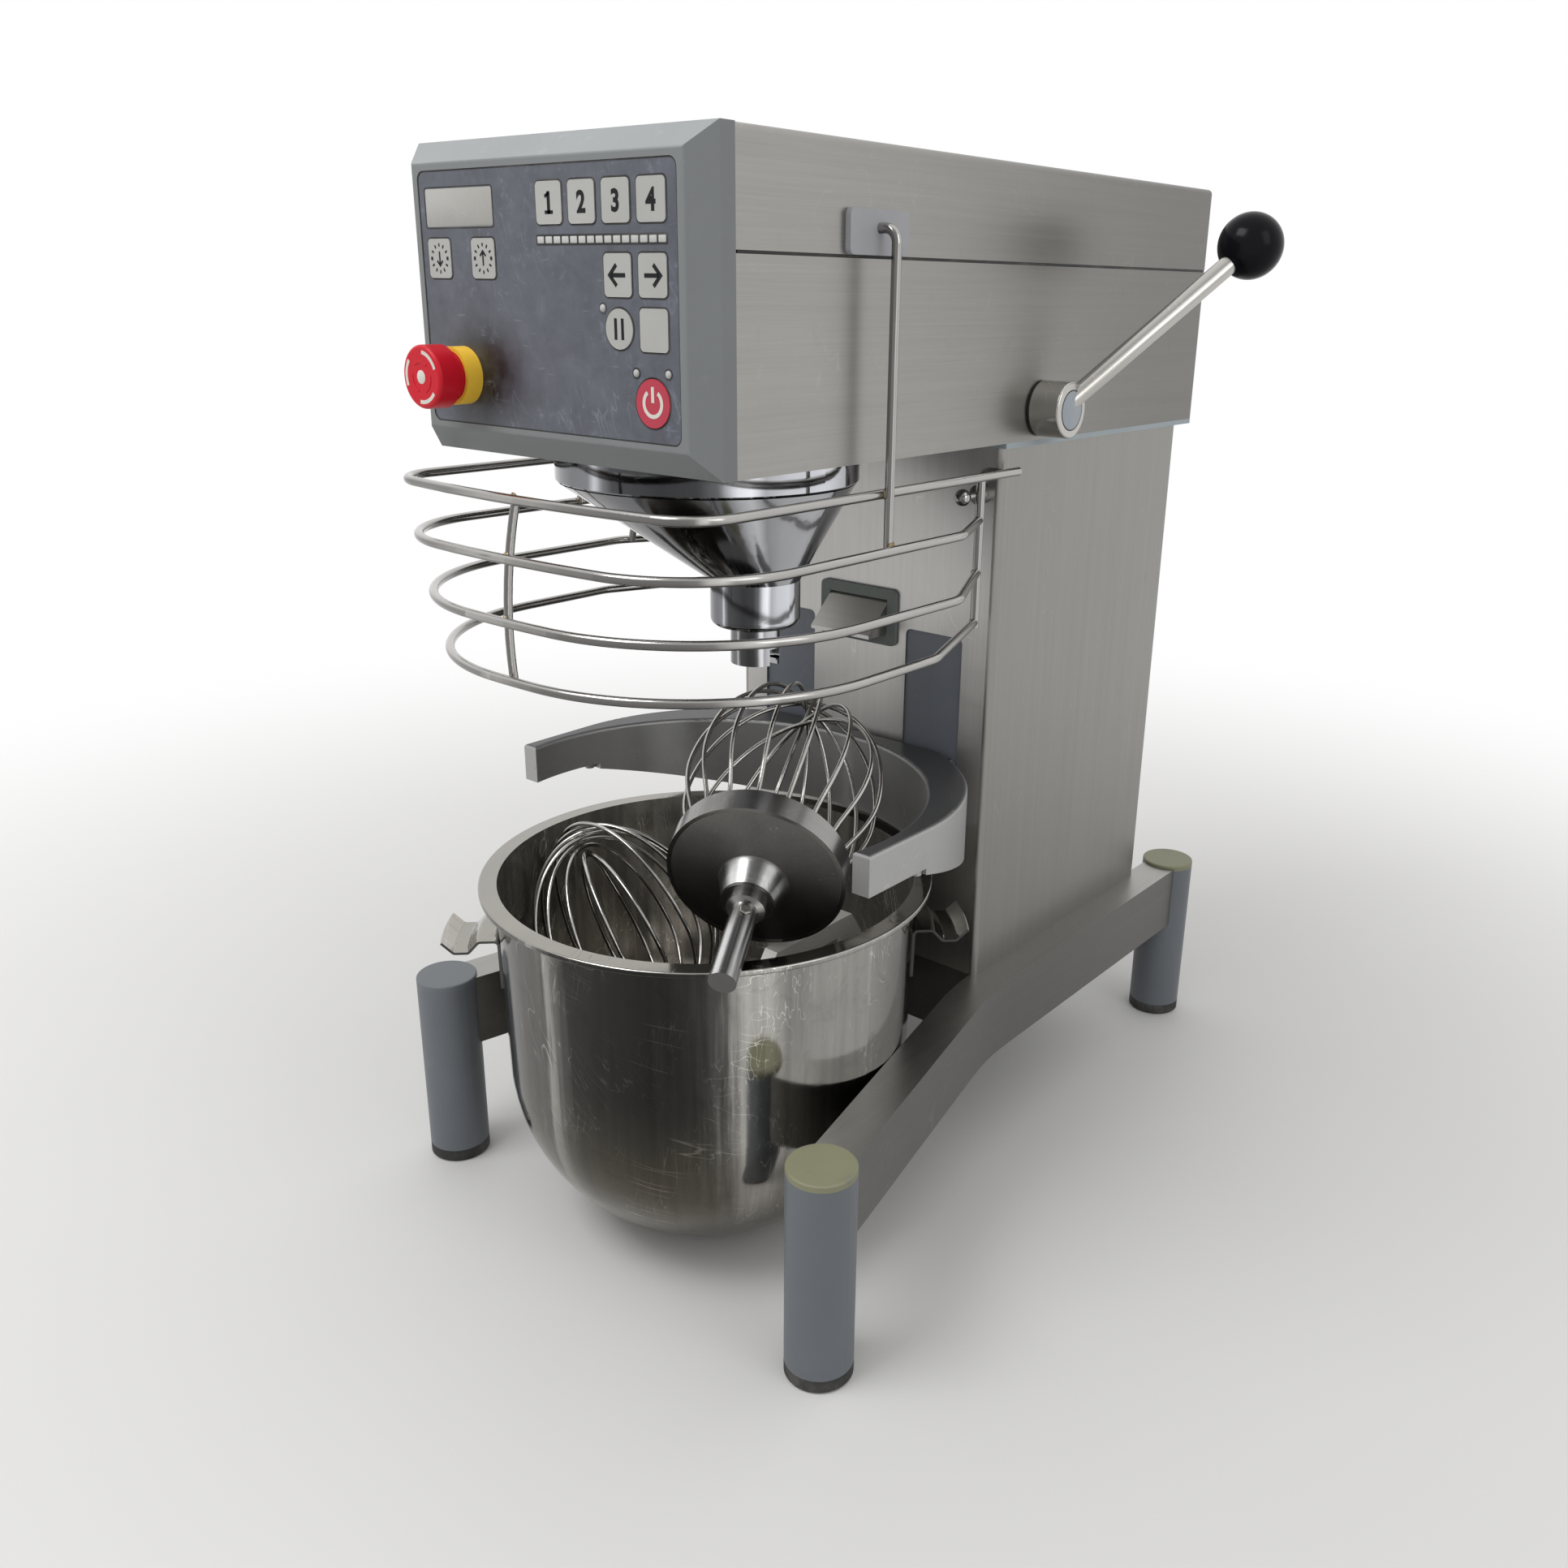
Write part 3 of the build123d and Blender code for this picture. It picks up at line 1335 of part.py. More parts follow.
whisk_b_base = Plane(origin=whisk_b_rest + whisk_b_up * whisk_b_rest_len, z_dir=whisk_b_up)
save(balloon(whisk_b_base, whisk_b_neck_r, whisk_widest_r, whisk_b_belly, whisk_len), "whisk_b_wires")
whisk_b = turned(
    whisk_b_base,
    [
        (0, 0),
        (disc_r, 0),
        (disc_r, -disc_t),
        (disc_r - disc_edge, -disc_t),
        (boss_r, -boss_top),
        (boss_foot_r, -boss_foot),
        (collar_r, -collar_foot + 3),
        (collar_r, -collar_foot),
        (neck_r, -collar_foot),
        (neck_r, -neck_foot),
        (tool_shaft_r, -neck_foot - 2),
        (tool_shaft_r, -whisk_b_shaft_len),
        (0, -whisk_b_shaft_len),
    ],
)
save(whisk_b, "whisk_b_hub")

# flat beater: standing on its shaft near the right wall, blade up and in line with the machine
beater_t = 12.0
beater_half_w = 60.0
beater_h = 150.0
beater_bar = 15.0
beater_boss_len = 30.0
beater_shaft_len = 86.0
beater_r = bowl_belly_r * 0.59
beater_y = bowl_y + 12
foot_reach = hypot(beater_r, beater_y - bowl_y) + tool_shaft_r - turn_x
beater_z = bowl_turn_z - sqrt(inner_turn**2 - foot_reach**2) + rest_gap + beater_shaft_len
beater_base = Plane(origin=(beater_r, beater_y, beater_z), x_dir=(0, 1, 0), z_dir=(0, 0, 1))
with BuildPart() as beater:
    with BuildSketch(loop_plane(beater_base, 0)):
        with BuildLine():
            Polyline(
                (0, 0),
                (beater_half_w * 0.4, 0),
                (beater_half_w, beater_h * 0.3),
                (beater_half_w - 4, beater_h - 18),
                (beater_half_w - 16, beater_h),
                (0, beater_h),
            )
            mirror(about=Plane.YZ)
        make_face()
        offset(amount=-beater_bar, mode=Mode.SUBTRACT)
        with Locations((0, beater_h / 2)):
            Rectangle(beater_bar, beater_h - beater_bar)
        for share in (0.36, 0.62):
            with Locations((0, beater_h * share)):
                Rectangle(2 * beater_half_w - 2 * beater_bar + 4, beater_bar * 0.8)
    extrude(amount=beater_t / 2, both=True)
    with BuildSketch(beater_base.offset(beater_t / 2)):
        Circle(tool_shaft_r + 5)
    extrude(amount=-beater_boss_len)
    with BuildSketch(beater_base.offset(-beater_boss_len + beater_t / 2)):
        Circle(tool_shaft_r)
    extrude(amount=-beater_shaft_len + beater_boss_len - beater_t / 2)
save(beater, "beater")
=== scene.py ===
"""Looks of a bench planetary mixer: finishes for every solid, and the panel, symbols, welds and pins.

Lengths are millimetres on the maker's frame: x from the plane of symmetry, y from the front plane of the
steel head, z from the table.  spot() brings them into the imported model's frame, in metres.
"""

import json
import math

import bmesh
import bpy
import numpy as np
from mathutils import Euler, Matrix, Vector


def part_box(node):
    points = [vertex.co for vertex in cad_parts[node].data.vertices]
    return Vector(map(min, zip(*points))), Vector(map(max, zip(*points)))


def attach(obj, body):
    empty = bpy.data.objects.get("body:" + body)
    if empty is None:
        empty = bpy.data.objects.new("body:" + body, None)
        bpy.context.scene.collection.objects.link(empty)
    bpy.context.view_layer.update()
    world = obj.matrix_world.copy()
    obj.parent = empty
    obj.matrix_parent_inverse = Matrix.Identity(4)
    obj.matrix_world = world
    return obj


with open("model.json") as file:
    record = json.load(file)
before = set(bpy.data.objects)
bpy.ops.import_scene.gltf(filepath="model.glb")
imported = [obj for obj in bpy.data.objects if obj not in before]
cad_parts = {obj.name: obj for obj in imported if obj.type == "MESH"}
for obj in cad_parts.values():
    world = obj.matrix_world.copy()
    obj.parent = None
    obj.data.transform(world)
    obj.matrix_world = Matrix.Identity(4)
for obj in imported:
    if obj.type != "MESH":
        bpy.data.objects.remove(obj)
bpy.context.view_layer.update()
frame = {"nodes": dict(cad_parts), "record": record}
nodes = frame["nodes"]

MM = 0.001
head_low, head_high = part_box("head_tray")
ZERO = np.array([(head_low.x + head_high.x) / 2, head_low.y, 0.0])


def spot(x, y, z):
    """A point of the maker's frame, in millimetres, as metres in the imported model's frame."""
    return ZERO + MM * np.array([x, y, z], float)


def spots(points):
    """The same for an array of points, one per row or per grid place."""
    return ZERO + MM * np.asarray(points, float)


def middle(node):
    """Centre of a solid's box on the maker's frame, in millimetres."""
    low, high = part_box(node)
    return (np.array(low + high) / 2 - ZERO) / MM


def front_of(node):
    """The foremost y of a solid on the maker's frame, in millimetres."""
    return (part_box(node)[0].y - ZERO[1]) / MM


# The stop's centre, the lever's pivot, and the disc of the whisk that leans on the bowl's rim: its middle, the
# way its axis points, and in its plane the way up and the way to the right.
STOP_X, STOP_Z = -82.0, 668.0
LEVER_Y, LEVER_Z = 344.0, 640.5
DISC_MID = (88.5, 73.5, 336.8)
DISC_UP = Vector((-0.4516, 0.8254, 0.3387)).normalized()
DISC_RISE = (Vector((0, 0, 1)) - DISC_UP * DISC_UP.z).normalized()
DISC_SIDE = DISC_UP.cross(DISC_RISE)

# ---------------------------------------------------------------- camera
EYE = spot(696.1, -603.1, 726.2)
EYE_RIGHT = (0.774273, 0.632683, 0.014595)
EYE_DOWN = (0.219662, -0.247050, -0.943777)
EYE_AHEAD = (-0.593506, 0.733947, -0.330261)


def camera():
    """The camera at EYE, with its three axes given, and the plain view transform."""
    view = bpy.data.cameras.new("view")
    view.sensor_width = 36.0
    view.lens = 31.42
    view.shift_x = -0.02816
    view.shift_y = -0.01138
    view.clip_start = 0.01
    view.clip_end = 60.0
    holder = bpy.data.objects.new("view", view)
    turn = Matrix((EYE_RIGHT, [-v for v in EYE_DOWN], [-v for v in EYE_AHEAD])).transposed()
    holder.matrix_world = Matrix.Translation(Vector(EYE)) @ turn.to_4x4()
    bpy.context.scene.collection.objects.link(holder)
    bpy.context.scene.camera = holder
    bpy.context.scene.view_settings.view_transform = "Standard"


camera()


# ---------------------------------------------------------------- shader arithmetic
class Val:
    """One output of a shader tree; Python arithmetic on it adds Math nodes."""

    def __init__(self, tree, socket):
        self.tree = tree
        self.socket = socket

    def math(self, operation, *others):
        """A Math node on this value and the others."""
        node = self.tree.nodes.new("ShaderNodeMath")
        node.operation = operation
        for slot, item in zip(node.inputs, (self,) + others):
            if isinstance(item, Val):
                self.tree.links.new(item.socket, slot)
            else:
                slot.default_value = float(item)
        return Val(self.tree, node.outputs[0])

    def __add__(self, other):
        return self.math("ADD", other)

    def __radd__(self, other):
        return self.math("ADD", other)

    def __sub__(self, other):
        return self.math("SUBTRACT", other)

    def __rsub__(self, other):
        return self.math("MULTIPLY_ADD", -1.0, other)

    def __mul__(self, other):
        return self.math("MULTIPLY", other)

    def __rmul__(self, other):
        return self.math("MULTIPLY", other)

    def __neg__(self):
        return self.math("MULTIPLY", -1.0)

    def abs(self):
        return self.math("ABSOLUTE")

    def root(self):
        return self.math("SQRT")

    def low(self, other):
        """The smaller of two values."""
        return self.math("MINIMUM", other)

    def high(self, other):
        """The larger of two values."""
        return self.math("MAXIMUM", other)

    def step(self, start, end):
        """0 below start, 1 above end, smooth between."""
        node = self.tree.nodes.new("ShaderNodeMapRange")
        node.interpolation_type = "SMOOTHSTEP"
        node.clamp = True
        self.tree.links.new(self.socket, node.inputs["Value"])
        node.inputs["From Min"].default_value = start
        node.inputs["From Max"].default_value = end
        return Val(self.tree, node.outputs["Result"])


class Finish:
    """A material, or the world, under construction: node() adds any node, the others are short forms of it."""

    def __init__(self, name, world=None):
        self.data = world or bpy.data.materials.new(name)
        self.data.use_nodes = True
        self.tree = self.data.node_tree
        self.tree.nodes.clear()

    def node(self, kind, settings=None, **inputs):
        """A node of that type: first its settings, then its sockets by name, or by number after a "_"."""
        made = self.tree.nodes.new("ShaderNode" + kind)
        for key, value in (settings or {}).items():
            if key == "stops":
                ramp = made.color_ramp.elements
                ramp.remove(ramp[1])
                ramp[0].position = value[0][0]
                ramp[0].color = (*value[0][1], 1.0)
                for place, colour in value[1:]:
                    ramp.new(place).color = (*colour, 1.0)
            else:
                setattr(made, key, value)
        for key, value in inputs.items():
            socket = made.inputs[int(key[1:])] if key[0] == "_" else made.inputs[key.replace("_", " ")]
            if isinstance(value, Val):
                self.tree.links.new(value.socket, socket)
            elif isinstance(value, tuple) and len(value) == 3 and socket.type == "RGBA":
                socket.default_value = (*value, 1.0)
            else:
                socket.default_value = value
        return made

    def out(self, made, name=0):
        """An output of a node as a value."""
        return Val(self.tree, made.outputs[name])

    def object_place(self):
        """Object coordinates."""
        return self.out(self.node("TexCoord"), "Object")

    def facing(self):
        """The surface's own normal, in the object's axes."""
        return self.out(self.node("TexCoord"), "Normal")

    def place(self, scale=(1, 1, 1), turn=(0, 0, 0), shift=(0, 0, 0)):
        """Object coordinates through a Mapping node."""
        coords = self.object_place()
        return self.out(self.node("Mapping", None, Vector=coords, Scale=scale, Rotation=turn, Location=shift))

    def axes(self, vector=None):
        """x, y and z of a vector, object coordinates unless another is given."""
        parts = self.node("SeparateXYZ", None, Vector=vector or self.object_place())
        return [self.out(parts, i) for i in range(3)]

    def join(self, x=0.0, y=0.0, z=0.0):
        """A vector from three values."""
        return self.out(self.node("CombineXYZ", None, X=x, Y=y, Z=z))

    def dot(self, one, two):
        """How far one vector reaches along another."""
        return self.out(self.node("VectorMath", {"operation": "DOT_PRODUCT"}, _0=one, _1=two), "Value")

    def noise(self, vector, scale, detail=3.0, rough=0.5, distort=0.0):
        """Fractal noise, about 0 to 1."""
        made = self.node(
            "TexNoise", None, Vector=vector, Scale=scale, Detail=detail, Roughness=rough, Distortion=distort
        )
        return self.out(made, "Fac")

    def cells(self, scale):
        """Distance to the nearest of many scattered points."""
        return self.out(self.node("TexVoronoi", None, Vector=self.place(), Scale=scale), "Distance")

    def ramp(self, place, greys):
        """A grey read from a table of (place, grey) pairs, the places between 0 and 1."""
        stops = [(at, (grey,) * 3) for at, grey in greys]
        return self.out(self.node("ValToRGB", {"stops": stops}, Fac=place), "Color")

    def mix(self, share, one, two):
        """Colour between one and two."""
        return self.out(self.node("Mix", {"data_type": "RGBA"}, _0=share, _6=one, _7=two), 2)

    def tinted(self, colour, tint):
        """A colour multiplied by a tint."""
        return self.out(self.node("VectorMath", {"operation": "MULTIPLY"}, _0=colour, _1=tint))

    def shade(self, colour, light):
        """A colour made lighter or darker by a value near 1."""
        return self.tinted(colour, self.join(light, light, light))

    def bump(self, height, strength, distance):
        """A normal tilted by the slope of a height."""
        return self.out(self.node("Bump", None, Height=height, Strength=strength, Distance=distance))

    def surface(self, **inputs):
        """The Principled shader and the output."""
        shader = self.node("BsdfPrincipled", None, **inputs)
        self.tree.links.new(shader.outputs[0], self.node("OutputMaterial").inputs[0])
        return self.data

    def blend(self, share, one, two, output):
        """Two shaders mixed by a share, into an output node of the given type."""
        mixed = self.node("MixShader", None, _0=share)
        self.tree.links.new(one.outputs[0], mixed.inputs[1])
        self.tree.links.new(two.outputs[0], mixed.inputs[2])
        self.tree.links.new(mixed.outputs[0], self.node(output).inputs[0])


# ---------------------------------------------------------------- marks and tones that several finishes share
UPWARD = (0.0, 0.0, 1.0)
THREE_WAYS = ((0.2, 0.1, 0.5), (1.3, 0.4, 1.9), (0.5, 1.2, 2.6))
TWO_WAYS = ((0.9, 0.3, 2.0), (0.1, 0.8, 0.9))


def scratches(f, scale, width, turns=THREE_WAYS, reach=0.02):
    """Thin straight scratches in several directions: narrow bands of noise drawn out along each one."""
    total = None
    for n, turn in enumerate(turns):
        along = tuple(Euler(turn).to_matrix() @ Vector((0, 1, 0)))
        size = (1 / scale, 1 / (scale * reach), 1 / scale)
        coords = f.object_place()
        drawn = f.node("Mapping", {"vector_type": "TEXTURE"}, Vector=coords, Scale=size, Rotation=turn)
        field = f.noise(f.out(drawn), 1.0, 1.0, 0.4)
        line = 1 - (field - 0.5).abs().step(0.0, width)
        rare = f.noise(f.place(shift=(3 * n, n, 5)), 17.0, 2.0).step(0.50, 0.66)
        line = line * rare * (1 - f.dot(f.facing(), along).abs().step(0.25, 0.55))
        total = line if total is None else total.high(line)
    return total


def pitting(f, scale, edge, shift, patch, rare_from):
    """Small round pits where a second, coarser noise is high."""
    rare = f.noise(f.place(shift=shift), patch, 2.0).step(rare_from, 0.70)
    return (1 - f.cells(scale).step(0.05, edge)) * rare


# Painted reflection: what bright metal shows of a room with its window wall on the right and its dark end in
# front, painted in as the grey a surface takes by the bearing of its normal, in degrees from the x axis.
ROOM_REFLECTION_GREYS = (
    (-180, 0.34), (-150, 0.30), (-128, 0.14), (-104, 0.115), (-94, 0.15), (-91, 0.42), (-88, 0.14),
    (-83, 0.050), (-62, 0.028), (-50, 0.035), (-43, 0.09), (-37, 0.50), (-32, 0.60), (-27, 0.28),
    (-18, 0.38), (0, 0.42), (14, 0.24), (28, 0.10), (50, 0.28), (95, 0.38), (140, 0.30), (180, 0.34),
)

# Painted reflection: light and dark lines along a tool's turned shaft, from its left flank (0) to its right
# flank (1).
SHAFT_PAINTED_REFLECTION = (
    (0.0, 0.55), (0.13, 0.07), (0.24, 0.85), (0.40, 1.0), (0.50, 0.26), (0.66, 0.07), (0.82, 0.50),
    (0.92, 0.12), (1.0, 0.30),
)


def painted_room_reflection(f, stray, painted_top_light, ground, strength=1.0, plain=0.40):
    """Painted reflection: grey by the normal's bearing from ROOM_REFLECTION_GREYS, painted_top_light above,
    ground below.

    stray bends the bearing a little from place to place, and strength mixes the table with a plain grey.
    """
    nx, ny, nz = f.axes(f.facing())
    bearing = ny.math("ARCTAN2", nx) * (0.5 / math.pi) + 0.5 + (stray - 0.5) * 0.035
    round_about = f.ramp(bearing, [((angle + 180) / 360, grey) for angle, grey in ROOM_REFLECTION_GREYS])
    # Painted reflection of ceiling and floor: a set grey on what faces up, the ground grey on what faces down.
    mixed = f.mix(nz.step(0.30, 0.85), round_about, (painted_top_light,) * 3)
    mixed = f.mix((-nz).step(0.25, 0.80), mixed, (ground,) * 3)
    return f.mix(strength, (plain,) * 3, mixed)


# ---------------------------------------------------------------- finishes
HEAD_LENGTH = 0.62


def brushed(name, colour, along, rough=0.34, grain=900.0, dirt=0.5, painted_shade_to_back=0.0, painted_top_light=0.0, relief=0.10):
    """Steel sheet ground along one axis: long fine lines, cloudy wipe marks, a few scratches and spots.

    painted_shade_to_back darkens it towards the back of the head, painted_top_light lightens what faces up.
    """
    f = Finish(name)
    stretch = tuple(0.012 if axis == along else 1.0 for axis in "xyz")
    fine = f.noise(f.place(scale=stretch), grain, 4.0, 0.65)
    coarse = f.noise(f.place(scale=stretch, shift=(3, 1, 2)), grain * 0.18, 3.0, 0.6)
    cloud = f.noise(f.place(), 5.5, 4.0, 0.6, 0.4)
    dots = f.noise(f.place(shift=(1, 7, 3)), 60.0, 2.0, 0.5).step(0.66, 0.74)
    marks = scratches(f, 55.0, 0.010)
    light = 0.80 + fine * 0.22 + coarse * 0.16 + (cloud - 0.5) * 0.26 * dirt - dots * 0.05 * dirt + marks * 0.12
    gloss = rough - 0.06 + fine * 0.13 + cloud * 0.12 * dirt - marks * 0.08
    # Painted shade: darker towards the back of the head.
    if painted_shade_to_back:
        front = float(ZERO[1])
        light = light * (1 - f.axes()[1].step(front, front + HEAD_LENGTH) * painted_shade_to_back)
    # Painted light: what faces up is made lighter.
    if painted_top_light:
        light = light * (1 + f.dot(f.facing(), UPWARD).step(0.5, 0.9) * painted_top_light)
    bumps = f.bump(fine * 0.7 + coarse * 0.5 + marks * 0.4, relief, 0.0004)
    return f.surface(Base_Color=f.shade(colour, light), Metallic=1.0, Roughness=gloss, Normal=bumps)


def polished(name, tint, rough=0.12, dirt=0.4, scratch=1.0, strength=1.0, plain=0.42, ground=0.10):
    """Polished steel or chrome: painted room reflection, darker facing down, clear reflections, fine scratches
    and wipe marks.
    """
    f = Finish(name)
    cloud = f.noise(f.place(), 9.0, 4.0, 0.6, 0.5)
    marks = scratches(f, 120.0, 0.012)
    fine = scratches(f, 300.0, 0.016, TWO_WAYS)
    # Painted reflection of a room; ground is the painted grey of what faces down.
    tone = painted_room_reflection(f, cloud, 0.5, ground, strength, plain)
    light = 0.84 + cloud * 0.24 + marks * 0.25 * scratch
    gloss = rough + cloud * 0.10 * dirt + marks * 0.22 * scratch + fine * 0.12 * scratch
    relief = f.bump(marks * 0.6 + fine * 0.4 + cloud * 0.1, 0.08 * scratch, 0.0003)
    base = f.shade(f.tinted(tone, tint), light)
    return f.surface(Base_Color=base, Metallic=1.0, Roughness=gloss, Normal=relief)


def cast(name, colour, rough=0.42, pit=0.6, grain=420.0, metal=0.9):
    """Ground casting: fine grain, scattered pits and dull patches."""
    f = Finish(name)
    fine = f.noise(f.place(), grain, 3.0, 0.6)
    cloud = f.noise(f.place(), 14.0, 4.0, 0.6)
    holes = pitting(f, 170.0, 0.22, (4, 4, 1), 30.0, 0.56)
    light = 0.84 + fine * 0.18 + (cloud - 0.5) * 0.30 - holes * 0.45 * pit
    gloss = rough + fine * 0.12 + cloud * 0.12
    relief = f.bump(fine * 0.35 - holes * 1.6 * pit, 0.28, 0.0006)
    return f.surface(Base_Color=f.shade(colour, light), Metallic=metal, Roughness=gloss, Normal=relief)


def ground_casting(name, tint, rough=0.31):
    """The yoke: ground and blasted, pitted; a painted reflection bright on its sides, painted shade dark on top
    under the head.
    """
    f = Finish(name)
    fine = f.noise(f.place(), 420.0, 3.0, 0.6)
    cloud = f.noise(f.place(), 12.0, 4.0, 0.6)
    holes = pitting(f, 170.0, 0.22, (4, 4, 1), 30.0, 0.58)
    marks = scratches(f, 70.0, 0.012)
    # Painted reflection of a room, bright on the sides; then painted shade darkens what faces up, as under the
    # head.
    tone = painted_room_reflection(f, cloud, 0.11, 0.10, 0.45, 0.46)
    tone = f.mix(f.dot(f.facing(), UPWARD).step(0.55, 0.9) * 0.8, tone, (0.060, 0.062, 0.068))
    light = 0.84 + fine * 0.14 + (cloud - 0.5) * 0.34 - holes * 0.35 + marks * 0.25
    gloss = rough + fine * 0.10 + cloud * 0.12
    relief = f.bump(fine * 0.25 - holes * 1.2 + marks * 0.3, 0.2, 0.0005)
    base = f.shade(f.tinted(tone, tint), light)
    return f.surface(Base_Color=base, Metallic=0.62, Roughness=gloss, Normal=relief)


def moulded(name, colour, rough=0.5, grain=900.0, wear=0.3, grime=None, coat=0.0, shine=0.5, painted_top_light=0.0):
    """Moulded plastic or paint: fine skin grain, faint mottling, rubbed paler spots and greasy film."""
    f = Finish(name)
    skin = f.noise(f.place(), grain, 2.0, 0.6)
    cloud = f.noise(f.place(), 11.0, 4.0, 0.6, 0.3)
    rub = f.noise(f.place(shift=(5, 2, 8)), 46.0, 4.0, 0.7).step(0.60, 0.72)
    marks = scratches(f, 90.0, 0.012)
    light = 0.88 + skin * 0.10 + (cloud - 0.5) * 0.26 + rub * 0.14 * wear + marks * 0.24 * wear
    # Painted light: what faces up is made lighter.
    if painted_top_light:
        light = light * (1 + f.dot(f.facing(), UPWARD).step(0.3, 0.6) * painted_top_light)
    base = f.shade(colour, light)
    if grime:
        base = f.mix(cloud.step(0.5, 0.75) * 0.6, base, grime)
    gloss = rough + skin * 0.08 + (cloud - 0.5) * 0.24 - rub * 0.08
    relief = f.bump(skin * 0.5 + marks * 0.4, 0.12, 0.0003)
    return f.surface(
        Base_Color=base, Roughness=gloss, Coat_Weight=coat, Specular_IOR_Level=shine, Normal=relief
    )


def rubbery(name, colour, rough=0.7):
    """Rubber: matt, dusty on open faces."""
    f = Finish(name)
    skin = f.noise(f.place(), 700.0, 3.0, 0.6)
    dust = f.noise(f.place(), 24.0, 4.0, 0.65).step(0.45, 0.8)
    base = f.mix(dust * 0.35, f.shade(colour, 0.85 + skin * 0.25), (0.30, 0.29, 0.27))
    relief = f.bump(skin, 0.2, 0.0004)
    return f.surface(Base_Color=base, Roughness=rough + dust * 0.15, Normal=relief)


def two_gaskets(name, under_head, round_hood):
    """Pale glossy profile under the head, dull grey-green one round the hood, told apart by height."""
    f = Finish(name)
    high = f.axes()[2].step(0.54, 0.56)
    skin = f.noise(f.place(), 500.0, 3.0, 0.6)
    cloud = f.noise(f.place(), 30.0, 4.0, 0.6)
    base = f.shade(f.mix(high, round_hood, under_head), 0.78 + skin * 0.2 + cloud * 0.24)
    relief = f.bump(skin * (1.2 - high), 0.25, 0.0004)
    return f.surface(Base_Color=base, Roughness=0.72 - high * 0.38 + cloud * 0.1, Normal=relief)


def capped(name, plain, yellow):
    """End caps of the posts: paint-grey, the right-hand ones yellowed, the yellow fading in blotches."""
    f = Finish(name)
    cloud = f.noise(f.place(), 40.0, 4.0, 0.65)
    skin = f.noise(f.place(shift=(2, 2, 2)), 1300.0, 2.0)
    right_hand = f.axes()[0].step(-0.02, 0.02)
    blotched = (cloud + 0.35).step(0.55, 0.8)
    base = f.shade(f.mix(right_hand * blotched, plain, yellow), 0.86 + cloud * 0.20 + skin * 0.08)
    relief = f.bump(skin, 0.1, 0.0003)
    return f.surface(Base_Color=base, Roughness=0.42 + cloud * 0.16, Normal=relief)


def foil_sheet(name, colour):
    """Printed panel foil: bluish grey, mottled by wear, short rubbed strokes, a darker patch just right of the
    stop.
    """
    f = Finish(name)
    cloud = f.noise(f.place(), 22.0, 5.0, 0.65, 0.5)
    blot = f.noise(f.place(shift=(3, 1, 4)), 85.0, 4.0, 0.6, 0.4)
    skin = f.noise(f.place(), 2400.0, 2.0)
    marks = scratches(f, 110.0, 0.016)
    leaning = f.place(scale=(40.0, 40.0, 260.0), turn=(0.0, 0.35, 0.0))
    rubbed = f.noise(leaning, 1.0, 2.0, 0.5).step(0.66, 0.74)
    worn = f.noise(f.place(shift=(7, 7, 2)), 60.0, 4.0, 0.7).step(0.58, 0.72)
    dark_patch_x, _, dark_patch_z = (float(v) for v in spot(STOP_X + 22, 0, STOP_Z))
    x, _, z = f.axes()
    off_x = x - dark_patch_x
    off_z = z - dark_patch_z
    near = 1 - (off_x * off_x + off_z * off_z * 1.3).root().step(0.018, 0.050)
    light = 0.80 + (cloud - 0.5) * 0.95 + (blot - 0.5) * 0.60 + skin * 0.12 + worn * 0.52
    light = light + rubbed * 0.42 + marks * 0.55 - near * 0.62
    gloss = 0.34 + (cloud - 0.5) * 0.22 + worn * 0.10 + skin * 0.05
    relief = f.bump(skin * 0.4 + marks * 0.5 + blot * 0.3, 0.12, 0.0003)
    return f.surface(Base_Color=f.shade(colour, light), Roughness=gloss, Normal=relief)


